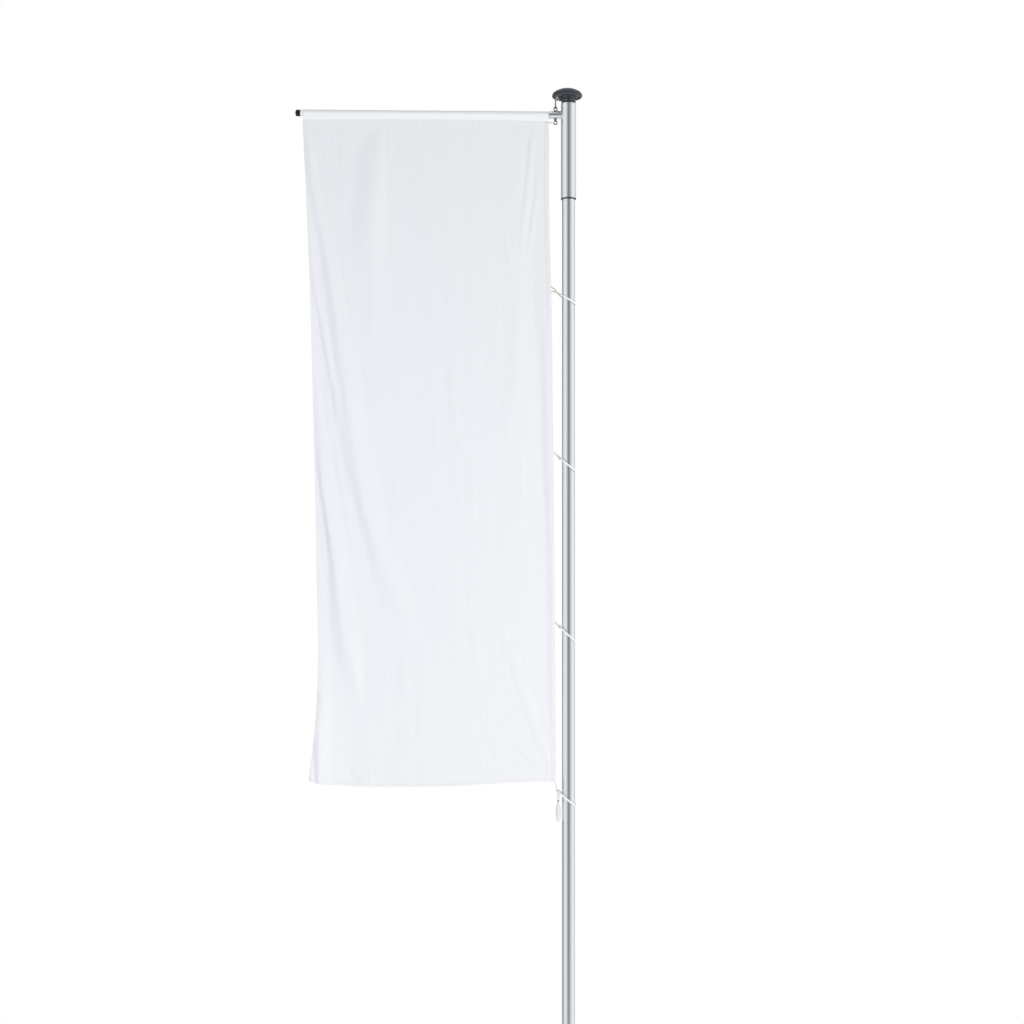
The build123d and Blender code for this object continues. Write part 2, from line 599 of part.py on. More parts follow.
# ---------------------------------------------------------------- write every piece
def main():
    for piece in (pole_tube, foot_plug, ground_sleeve, wedge_ring, locking_screws, head_bearing,
                  head_cap, head_neck, head_spigot, pulley_bracket, pulley_axle, guide_pulley,
                  halyard_top, halyard, halyard_loop,
                  carrier_sleeve, glide_ring_top, glide_ring_bottom, boom_socket, boom_tube,
                  boom_end_cap, eye_bolt, eye_nut, banner_tunnel, banner_panel, top_corner_cord,
                  weight_clip, counterweight):
        export(piece.__name__, piece())

    band = banner_edge_band()
    export("banner_edge_band", band)
    loops = [mast_loop(*loop) for loop in MAST_LOOPS]
    for number, loop in enumerate(loops, 1):
        export(f"mast_loop_{number}", loop)
    for number, (loop, clip) in enumerate(zip(MAST_LOOPS, CLIPS), 1):
        export(f"loop_clip_{number}", loop_clip(loop, clip))
        export(f"edge_tie_{number}", edge_tie(loop, clip, band))
    ring = corner_ring()
    export("corner_ring", ring)
    export("bottom_corner_cord", bottom_corner_cord(ring, loops[3], band))


main()
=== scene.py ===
import json
import math

import bpy
import numpy as np
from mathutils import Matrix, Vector, noise


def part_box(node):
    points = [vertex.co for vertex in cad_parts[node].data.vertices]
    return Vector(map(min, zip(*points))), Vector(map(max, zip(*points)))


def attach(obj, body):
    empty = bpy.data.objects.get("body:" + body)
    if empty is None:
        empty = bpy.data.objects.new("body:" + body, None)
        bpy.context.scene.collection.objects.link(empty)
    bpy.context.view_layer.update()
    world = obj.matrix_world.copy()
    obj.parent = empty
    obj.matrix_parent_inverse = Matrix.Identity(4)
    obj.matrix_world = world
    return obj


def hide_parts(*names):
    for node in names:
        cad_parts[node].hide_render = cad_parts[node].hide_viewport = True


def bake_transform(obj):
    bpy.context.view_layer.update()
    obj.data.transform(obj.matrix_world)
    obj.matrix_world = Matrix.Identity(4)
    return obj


# A flagpole with a swivelling head, a hoisted boom and a tall white banner.
# Everything is in metres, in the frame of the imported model.

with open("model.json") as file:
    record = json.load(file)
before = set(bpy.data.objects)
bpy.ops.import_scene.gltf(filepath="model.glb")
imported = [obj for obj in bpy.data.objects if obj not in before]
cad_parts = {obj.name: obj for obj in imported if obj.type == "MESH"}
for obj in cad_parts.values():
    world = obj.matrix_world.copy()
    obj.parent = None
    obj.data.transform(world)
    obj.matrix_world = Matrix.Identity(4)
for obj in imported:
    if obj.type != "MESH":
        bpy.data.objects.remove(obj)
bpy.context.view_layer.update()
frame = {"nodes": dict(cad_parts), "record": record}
nodes = frame["nodes"]

# ---------------- sizes
FRONT = (0, -1, 0)  # the ways the banner's two faces look
BACK = (0, 1, 0)

VIEW_DISTANCE = 9.0
VIEW_REACH = 200
VIEW_SPAN = 6.144
VIEW_X = -0.339
VIEW_Z = 5.456
SENSOR = 36.0

FLOOR_RADIUS = 4.5
FLOOR_SIDES = 96
FLOOR_DROP = 0.0005
FADE_START = 0.35  # the floor fades to white between these shares of its radius
FADE_END = 0.97

# the banner's outline as (x, z): the seam under the hem tunnel, then the two upright edges
SEAM = [
    (-1.596, 7.809), (-0.9, 7.8095), (-0.65, 7.8085), (-0.53, 7.8055), (-0.41, 7.804),
    (-0.29, 7.8025), (-0.117, 7.798),
]
LEFT_EDGE = [
    (-1.596, 7.809), (-1.569, 7.28), (-1.545, 6.632), (-1.527, 5.912),
    (-1.509, 5.048), (-1.501, 4.5), (-1.515, 4.184), (-1.556, 3.84),
]
MAST_EDGE = [
    (-0.117, 7.798), (-0.116, 7.28), (-0.105, 6.848), (-0.093, 6.000), (-0.083, 4.9), (-0.076, 3.842),
]
# the bottom edge, as (share of the width from the free edge, z)
BOTTOM_EDGE = [
    (0.0, 3.848), (0.032, 3.833), (0.093, 3.822), (0.18, 3.811), (0.39, 3.807), (0.6, 3.812),
    (0.7, 3.822), (0.85, 3.834), (1.0, 3.84),
]

CLOTH_FLAT = (1.5, 4.0)
CLOTH_COLUMNS = 240
CLOTH_ROWS = 320
CRISP_SCALE = 1.55  # how much deeper than listed the crisp folds and hollows are
SOFT_SCALE = 0.8  # the same for the soft folds, and how much wider their flanks are
SOFT_SPREAD = 2.2
HANG_SHARE = 0.03  # of the height, over which the cloth swings free of its seam
TAUT_SHARE = 0.985  # of the width, beyond which the webbing holds it flat
BELLY = 0.006  # how far its middle stands forward, and how that sways across and down
BELLY_SWAY = 0.4
BELLY_SLANT = 0.4
RIPPLE_SLICE = 3.7  # which slice of the noise its ripples follow
# its ripples, as (height, length along x, length along z): all over, under the seam, down the free edge
CRINKLES = [(0.0018, 0.08, 0.9), (0.00081, 0.026, 0.3)]
PUCKERS = [(0.002, 0.016, 0.3), (0.0012, 0.008, 0.12)]
PUCKER_SHARES = (0.0015, 0.03)  # of the height, where the puckers begin and end
HEM_WAVES = [(0.0011, 0.6, 0.045)]
HEM_WAVE_SHARE = 0.03  # of the width, over which the edge's waves fade
HEM_WIDTH = 0.014
HEM_HALF_THICKNESS = 0.0007
HEM_STEPS = 5
SIDE_HEM_STATIONS = 420
BOTTOM_HEM_STATIONS = 200

TUNNEL_LEFT_X = -1.593
TUNNEL_RIGHT_X = -0.12
TUNNEL_GAP = 0.0007
TUNNEL_STATIONS = 300
SKIRT_STEPS = 8
OVER_STEPS = 20
TUNNEL_SLACK = 0.0012  # the tunnel's play round the boom
TUNNEL_WAVER = 0.001  # how much that play varies, and how often in a metre
WAVER_RATE = 30
TUNNEL_RIPPLE = 0.0012  # the ripples over the boom
RIPPLE_RATE = 45
TUNNEL_GATHER = 0.0028  # the gathers of its skirts
GATHER_RATE = 70

BAND_WIDTH = 0.025
BAND_HALF_THICKNESS = 0.0013
BAND_ROWS = 320
BAND_DROP = 0.001
BAND_WAVE = 0.0012  # how far it waves forward and back, and how often in a metre
BAND_WAVE_RATE = 6
BAND_SEAMS = (0.14, 0.86)  # its two rows of stitches, as shares of its width
# half of its section, as (share of its width, share of its half thickness)
BAND_PROFILE = [(0.0, 0.35), (0.04, 0.85), (0.12, 1.0), (0.5, 1.08), (0.88, 1.0), (0.96, 0.85), (1.0, 0.35)]

STITCH_PITCH = 0.0055
STITCH_LENGTH = 0.0042
STITCH_WIDTH = 0.0009
STITCH_HEIGHT = 0.0006

ROPE_LAY = 0.015
ROPE_STEP = 0.0012
STRANDS = 3
STRAND_SIDES = 8
STRAND_SHARE = 0.48  # a strand's radius, as a share of its cord's
WOUND_STEPS = 24
WOUND_SIDES = 6
FULLNESS = 0.0006  # how much fuller ropes, cords and loops look than their plain rods
EYE_RADIUS = 0.0025
EYE_LAY = 0.01
WHIPPING_THREAD = 0.0004
WHIPPING_TURNS = 8
WHIPPING_OVERLAP = 0.001
HITCH_RADIUS = 0.0034
HITCH_THREAD = 0.0012
HITCH_TURNS = 6
HITCH_INSET = 0.003

UNDERSIDE_INNER = 0.044  # the rims of the cap's underside, and how far it lies above the lip
UNDERSIDE_OUTER = 0.0752
UNDERSIDE_DEPTH = 0.0036
UNDERSIDE_SAG = 0.0004
UNDERSIDE_WALL = 0.0015
UNDERSIDE_TURNS = 120
UNDERSIDE_STEPS = 6
MOULD_LINE_HEIGHT = 0.0095
MOULD_LINE_RISE = 0.0005
# its section, as multiples of its rise
MOULD_LINE_SECTION = [(0, -1.4), (1, -0.5), (1, 0.5), (0, 1.4), (-1, 0)]
MOULD_LINE_TURNS = 180
WELD_BEAD = 0.0022
WELD_RIPPLES = 22
WELD_TURNS = 132
WELD_SIDES = 8
FERRULE_DROP = 0.0165
FERRULE_OUTLINE = [(0.0044, -0.003), (0.005, -0.003), (0.0054, -0.002), (0.0054, 0.002), (0.005, 0.003),
                   (0.0044, 0.003)]
FERRULE_TURNS = 48
EDGE_ANGLE = math.radians(40)  # faces that meet at more than this keep a crisp edge


# ---------------- places taken from the frame
def middle(node):
    low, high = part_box(node)
    return (low + high) / 2


def half_width(node, axis):
    low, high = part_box(node)
    return (high[axis] - low[axis]) / 2


ROPE_X = middle("halyard").x
ROPE_RADIUS = half_width("halyard", 1) + FULLNESS
BOOM_RADIUS = half_width("boom_tube", 1)
SOCKET_RADIUS = half_width("boom_socket", 1)
SLEEVE_RADIUS = half_width("carrier_sleeve", 1)


def boom_centre_z(x):
    """The height of the boom's axis, which rises a little away from the pole."""
    low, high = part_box("boom_tube")
    share = (high.x - x) / (high.x - low.x)
    return low.z + BOOM_RADIUS + share * (high.z - low.z - 2 * BOOM_RADIUS)


# ---------------- camera
def make_camera():
    data = bpy.data.cameras.new("camera")
    data.sensor_width = SENSOR
    data.lens = SENSOR * VIEW_DISTANCE / VIEW_SPAN
    data.clip_end = VIEW_REACH
    camera = bpy.data.objects.new("camera", data)
    camera.location = (VIEW_X, -VIEW_DISTANCE, VIEW_Z)
    camera.rotation_euler = (math.radians(90), 0, 0)
    bpy.context.scene.collection.objects.link(camera)
    bpy.context.scene.camera = camera
    bpy.context.scene.view_settings.view_transform = "Standard"


# ---------------- shader wiring
class Socket:
    """One value in a shader. Arithmetic on it adds Math nodes."""

    def __init__(self, tree, output):
        self.tree = tree
        self.output = output

    def __add__(self, other):
        return self.tree.calc("ADD", self, other)

    def __radd__(self, other):
        return self.tree.calc("ADD", other, self)

    def __mul__(self, other):
        return self.tree.calc("MULTIPLY", self, other)

    def __rmul__(self, other):
        return self.tree.calc("MULTIPLY", other, self)

    def __truediv__(self, other):
        return self.tree.calc("DIVIDE", self, other)

    def __rtruediv__(self, other):
        return self.tree.calc("DIVIDE", other, self)


class Outputs:
    """The outputs of one node, by name or number."""

    def __init__(self, tree, node):
        self.tree = tree
        self.node = node

    def __getitem__(self, name):
        return Socket(self.tree, self.node.outputs[name])


class Tree:
    """A node tree, of a finish or of the surroundings."""

    def __init__(self, tree):
        self.tree = tree

    def link(self, socket, value):
        if isinstance(value, Socket):
            self.tree.links.new(value.output, socket)
        else:
            socket.default_value = value

    def node(self, kind, settings=None, inputs=None):
        """A new node: its settings first, then the values or links of its sockets."""
        made = self.tree.nodes.new(kind)
        for name, value in (settings or {}).items():
            if name == "stops":
                ramp = made.color_ramp.elements
                while len(ramp) < len(value):
                    ramp.new(0.5)
                for stop, (place, colour) in zip(ramp, value):
                    stop.position = place
                    stop.color = colour
            else:
                setattr(made, name, value)
        for name, value in (inputs or {}).items():
            self.link(made.inputs[name], value)
        return Outputs(self, made)

    def calc(self, operation, first, second):
        return self.node("ShaderNodeMath", {"operation": operation}, {0: first, 1: second})["Value"]

    def mix(self, factor, first, second):
        """One colour at factor 0, the other at factor 1."""
        return self.node("ShaderNodeMix", {"data_type": "RGBA"}, {0: factor, 6: first, 7: second})[2]

    def place(self, stretch=(1, 1, 1)):
        """Coordinates on the piece; a small stretch draws a pattern out along that axis."""
        coordinates = self.node("ShaderNodeTexCoord")["Object"]
        return self.node("ShaderNodeMapping", None, {"Vector": coordinates, "Scale": stretch})["Vector"]

    def noise(self, scale, detail=2.0, stretch=(1, 1, 1)):
        return self.node("ShaderNodeTexNoise", None,
                         {"Vector": self.place(stretch), "Scale": scale, "Detail": detail})["Fac"]

    def wave(self, pitch, axis, stretch=(1, 1, 1)):
        """Bands across one axis, about a third of pitch apart."""
        return self.node("ShaderNodeTexWave", {"bands_direction": axis},
                         {"Vector": self.place(stretch), "Scale": 1 / pitch})["Fac"]

    def smooth_step(self, value, start, end):
        """0 at start, 1 at end and smooth between."""
        return self.node("ShaderNodeMapRange", {"interpolation_type": "SMOOTHSTEP"},
                         {"Value": value, "From Min": start, "From Max": end})["Result"]

    def bump(self, height, distance, strength):
        return self.node("ShaderNodeBump", None,
                         {"Height": height, "Distance": distance, "Strength": strength})["Normal"]


class Finish(Tree):
    """A new material, whose main shader has these plain values."""

    def __init__(self, name, **plain):
        self.name = name
        self.material = bpy.data.materials.new(name)
        self.material.use_nodes = True
        super().__init__(self.material.node_tree)
        self.shader = self.tree.nodes["Principled BSDF"]
        for socket, value in plain.items():
            self.shader.inputs[socket.replace("_", " ")].default_value = value

    def made(self, colour, roughness, normal):
        """Links what varies over the surface, and gives the finish's name and material."""
        self.link(self.shader.inputs["Base Color"], colour)
        self.link(self.shader.inputs["Roughness"], roughness)
        self.link(self.shader.inputs["Normal"], normal)
        return self.name, self.material


def grey(level):
    return (level, level, level, 1.0)


# ---------------- finishes
def satin_aluminium():
    tree = Finish("satin_aluminium", Metallic=1.0)
    streaks = tree.noise(60, 3, stretch=(1, 1, 0.012))
    cloud = tree.noise(3, stretch=(1, 1, 0.3))
    return tree.made(colour=tree.mix(cloud, (0.792, 0.82, 0.852, 1), (0.817, 0.843, 0.876, 1)),
                     roughness=0.22 + streaks * 0.08 + cloud * 0.04,
                     normal=tree.bump(streaks, distance=0.0002, strength=0.25))


def galvanised_steel():
    tree = Finish("galvanised_steel", Metallic=1.0)
    spangle = tree.node("ShaderNodeTexVoronoi", None, {"Vector": tree.place(), "Scale": 140})["Color"]
    tone = tree.node("ShaderNodeSeparateColor", None, {"Color": spangle})["Red"]
    zinc = tree.mix(tone, (0.46, 0.48, 0.49, 1), (0.62, 0.64, 0.65, 1))
    stain = tree.noise(30, 4)
    return tree.made(colour=tree.mix(stain * 0.5, zinc, (0.4, 0.4, 0.39, 1)),
                     roughness=0.38 + tone * 0.15,
                     normal=tree.bump(stain, distance=0.0004, strength=0.3))


def steel(name, dark, light, metallic=1.0):
    """Drawn or turned steel, with fine marks."""
    tree = Finish(name, Metallic=metallic)
    marks = tree.noise(700, 3, stretch=(1, 1, 0.2))
    return tree.made(colour=tree.mix(tree.noise(120), dark, light),
                     roughness=0.25 + marks * 0.2,
                     normal=tree.bump(marks, distance=0.0001, strength=0.3))


def moulded(name, dark, light, roughness, grain_depth=0.0001, **plain):
    """Moulded plastic or a thick coat, with a fine grain and a little dust."""
    tree = Finish(name, **plain)
    grain = tree.noise(900)
    return tree.made(colour=tree.mix(tree.noise(14, 3), dark, light),
                     roughness=roughness + grain * 0.12,
                     normal=tree.bump(grain, grain_depth, strength=0.4))


def white_boom():
    """White powder coat, with its faint orange peel."""
    tree = Finish("white_boom", Coat_Weight=0.2, Coat_Roughness=0.2)
    peel = tree.noise(500)
    return tree.made(colour=tree.mix(tree.noise(8), (0.8, 0.81, 0.82, 1), (0.84, 0.85, 0.86, 1)),
                     roughness=0.32 + peel * 0.08,
                     normal=tree.bump(peel, distance=0.0001, strength=0.3))


def woven(name, dark, light, pitch=0.0012, depth=0.0001):
    """Cloth or webbing, with threads along X and Z."""
    tree = Finish(name, Sheen_Weight=0.15, Sheen_Roughness=0.5)
    threads = tree.wave(pitch, "X") * tree.wave(pitch, "Z")
    slubs = tree.noise(90, 3, stretch=(1, 1, 0.15))
    return tree.made(colour=tree.mix(slubs * 0.7 + threads * 0.3, dark, light),
                     roughness=0.75 + slubs * 0.15,
                     normal=tree.bump(threads + slubs * 0.4, depth, strength=0.35))


def braided(name, dark, light, pitch=0.003, depth=0.0002):
    """Cord with a diagonal braid."""
    tree = Finish(name)
    braid = tree.wave(pitch, "DIAGONAL") * tree.wave(pitch, "DIAGONAL", stretch=(1, -1, -1))
    fleck = tree.noise(260)
    return tree.made(colour=tree.mix(braid * 0.6 + fleck * 0.4, dark, light),
                     roughness=0.6 + fleck * 0.2,
                     normal=tree.bump(braid, depth, strength=0.5))


def pale_floor():
    """A pale floor that keeps the shadow and fades to white at its rim."""
    tree = Finish("pale_floor", Roughness=0.9)
    tree.link(tree.shader.inputs["Base Color"], tree.mix(tree.noise(40, 3), grey(0.9), grey(0.94)))
    flat = tree.place(stretch=(1, 1, 0))
    reach = tree.node("ShaderNodeVectorMath", {"operation": "LENGTH"}, {0: flat})["Value"]
    fade = tree.smooth_step(reach, FADE_START * FLOOR_RADIUS, FADE_END * FLOOR_RADIUS)
    seen = tree.node("ShaderNodeLightPath")["Is Camera Ray"]
    glow = tree.node("ShaderNodeEmission", None, {"Color": grey(1.0), "Strength": 1.0})["Emission"]
    body = Socket(tree, tree.shader.outputs[0])
    mixed = tree.node("ShaderNodeMixShader", None, {0: fade * seen, 1: body, 2: glow})["Shader"]
    tree.link(tree.tree.nodes["Material Output"].inputs["Surface"], mixed)
    return tree.material


FINISHES = dict([
    satin_aluminium(),
    galvanised_steel(),
    steel("stainless_steel", (0.33, 0.33, 0.33, 1), (0.46, 0.46, 0.45, 1)),
    steel("worn_steel", (0.22, 0.22, 0.22, 1), (0.34, 0.34, 0.335, 1)),
    steel("pale_zinc", (0.74, 0.75, 0.76, 1), (0.84, 0.85, 0.86, 1), metallic=0.35),
    moulded("black_plastic", (0.012, 0.012, 0.013, 1), (0.03, 0.03, 0.032, 1), 0.35),
    moulded("gloss_black", (0.006, 0.006, 0.007, 1), (0.014, 0.014, 0.015, 1), 0.3, Specular_IOR_Level=0.3),
    moulded("anthracite_plastic", (0.036, 0.041, 0.054, 1), (0.05, 0.056, 0.071, 1), 0.2,
            grain_depth=0.00003, Specular_IOR_Level=0.25),
    moulded("polished_anthracite", (0.03, 0.034, 0.045, 1), (0.042, 0.047, 0.06, 1), 0.12,
            grain_depth=0.00003, Specular_IOR_Level=0.5, Coat_Weight=0.15),
    moulded("white_plastic", (0.74, 0.74, 0.72, 1), (0.82, 0.82, 0.8, 1), 0.35),
    moulded("grey_plastic", (0.58, 0.565, 0.56, 1), (0.7, 0.685, 0.68, 1), 0.35),
    moulded("coated_weight", (0.74, 0.74, 0.735, 1), (0.8, 0.8, 0.795, 1), 0.4),
    white_boom(),
    woven("hem_cloth", (0.79, 0.795, 0.805, 1), (0.83, 0.835, 0.845, 1)),
    woven("doubled_cloth", (0.8, 0.808, 0.835, 1), (0.835, 0.843, 0.87, 1)),
    woven("banner_cloth", (0.779, 0.788, 0.82, 1), (0.814, 0.823, 0.855, 1)),
    woven("white_webbing", (0.765, 0.772, 0.79, 1), (0.845, 0.852, 0.87, 1), pitch=0.0025, depth=0.0003),
    braided("white_cord", (0.7, 0.7, 0.69, 1), (0.86, 0.86, 0.85, 1)),
    # a darker cord whose colour is painted shade, standing in for the shadow on the first edge tie's upper
    # leg
    braided("shade_darkened_cord", (0.22, 0.215, 0.21, 1), (0.42, 0.41, 0.4, 1)),
    braided("grey_rope", (0.03, 0.03, 0.03, 1), (0.26, 0.26, 0.255, 1), depth=0.0003),
    braided("white_loop_cord", (0.9, 0.9, 0.91, 1), (0.95, 0.95, 0.96, 1), pitch=0.004, depth=0.0001),
])
# the pieces that look otherwise than their slot's usual finish
LOOKS = {"head_neck": "polished_anthracite", "pulley_bracket": "pale_zinc", "eye_nut": "worn_steel",
         "weight_clip": "white_plastic", "boom_end_cap": "gloss_black"}


# ---------------- curves and meshes
def ease(start, end, value):
    """0 at start, 1 at end and smooth between, also over a whole array."""
    t = np.clip((value - start) / (end - start), 0.0, 1.0)
    return t * t * (3 - 2 * t)


def line_through(stations, values, where):
    """A smooth line through the values at those stations, which rise, read off everywhere in where."""
    before = np.clip(np.searchsorted(stations, where) - 1, 0, len(stations) - 2)
    after = before + 1
    span = stations[after] - stations[before]
    slopes = np.gradient(values, stations)
    t = np.clip((where - stations[before]) / span, 0.0, 1.0)
    return ((2 * t**3 - 3 * t**2 + 1) * values[before] + (t**3 - 2 * t**2 + t) * slopes[before] * span
            + (3 * t**2 - 2 * t**3) * values[after] + (t**3 - t**2) * slopes[after] * span)


def straight(start, end, step):
    """Points from start up to, but not at, end."""
    start, end = Vector(start), Vector(end)
    count = max(int((end - start).length / step), 1)
    return [start.lerp(end, i / count) for i in range(count)]


def turn_about(centre, along, across, radius, first, last, count):
    """Points on an arc, from one angle up to another, in the plane of two unit vectors."""
    centre, along, across = Vector(centre), Vector(along), Vector(across)
    angles = [first + (last - first) * i / count for i in range(count)]
    return [centre + radius * (math.cos(angle) * along + math.sin(angle) * across) for angle in angles]


def round_section(centre, along, across, radius, sides):
    """The corners of a round cord's or bead's section."""
    return turn_about(centre, along, across, radius, 0, math.tau, sides)


def grid_faces(rows, columns, closed=False, ring=False):
    """Quads over rows by columns points; closed joins its last column to the first, ring its rows."""
    faces = []
    for i in range(rows if ring else rows - 1):
        this, following = i * columns, (i + 1) % rows * columns
        for j in range(columns if closed else columns - 1):
            k = (j + 1) % columns
            faces.append((this + j, this + k, following + k, following + j))
    return faces


def end_faces(rows, columns):
    """The two faces that close the ends of such a grid."""
    return [tuple(range(columns)), tuple((rows - 1) * columns + k for k in reversed(range(columns)))]


def add_piece(name, points, faces, body, slot_name, look=None):
    """A smooth mesh that rides on a body and has its slot's finish, or another one."""
    mesh = bpy.data.meshes.new(name)
    mesh.from_pydata(points, [], faces)
    mesh.polygons.foreach_set("use_smooth", [True] * len(mesh.polygons))
    mesh.materials.append(FINISHES[look or slot_name])
    piece = bpy.data.objects.new(name, mesh)
    bpy.context.scene.collection.objects.link(piece)
    if body:
        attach(piece, body)
    return piece


def laid_cord(name, path, side, radius, lay, body, slot_name, ring=False):
    """A cord of round strands that wind about a flat path; side is square to the path's plane."""
    strand = radius * STRAND_SHARE
    count = len(path)
    travelled = [0.0]
    for before, after in zip(path, path[1:]):
        travelled.append(travelled[-1] + (after - before).length)
    total = travelled[-1] + ((path[0] - path[-1]).length if ring else 0.0)
    turns = max(round(total / lay), 1) if ring else total / lay
    side = Vector(side)
    grid = grid_faces(count, STRAND_SIDES, closed=True, ring=ring)
    if not ring:
        grid += end_faces(count, STRAND_SIDES)
    points, faces = [], []
    for number in range(STRANDS):
        faces += [tuple(len(points) + k for k in face) for face in grid]
        for i, point in enumerate(path):
            before = path[i - 1] if ring or i else point
            after = path[(i + 1) % count] if ring or i + 1 < count else point
            up = side.cross((after - before).normalized())
            angle = math.tau * (turns * travelled[i] / total + number / STRANDS)
            centre = point + (radius - strand) * (math.cos(angle) * up + math.sin(angle) * side)
            points += round_section(centre, up, side, strand, STRAND_SIDES)
    return add_piece(name, points, faces, body, slot_name)


def wound(name, foot, along, radius, turns, thread, slot_name):
    """Thread wound in close turns round a cord, from foot along a unit vector."""
    along = Vector(along)
    across = along.orthogonal().normalized()
    up = along.cross(across)
    count = turns * WOUND_STEPS
    points = []
    for i in range(count + 1):
        angle = math.tau * i / WOUND_STEPS
        out = math.cos(angle) * across + math.sin(angle) * up
        centre = Vector(foot) + along * (thread * 2 * i / WOUND_STEPS) + out * radius
        points += round_section(centre, out, along, thread, WOUND_SIDES)
    faces = grid_faces(count + 1, WOUND_SIDES, closed=True) + end_faces(count + 1, WOUND_SIDES)
    add_piece(name, points, faces, "carrier", slot_name)


def stitched(name, lines):
    """Rows of the banner's machine stitches, each a little lozenge lying on its line of points."""
    points, faces = [], []
    for line, outward in lines:
        outward = Vector(outward)
        reach = 0.0
        for before, after in zip(line, line[1:]):
            before, after = Vector(before), Vector(after)
            length = (after - before).length
            along = (after - before).normalized()
            across = along.cross(outward).normalized()
            while reach < length:
                foot = before + along * reach
                centre = foot + along * (STITCH_LENGTH / 2)
                n = len(points)
                points += [foot, foot + along * STITCH_LENGTH,
                           centre + across * STITCH_WIDTH / 2, centre - across * STITCH_WIDTH / 2,
                           centre + outward * STITCH_HEIGHT, centre - outward * STITCH_HEIGHT]
                for end in (0, 1):
                    for first, second in ((2, 4), (4, 3), (3, 5), (5, 2)):
                        face = (n + end, n + first, n + second)
                        faces.append(face if end else face[::-1])
                reach += STITCH_PITCH
            reach -= length
    return add_piece(name, points, faces, "carrier", "white_webbing")


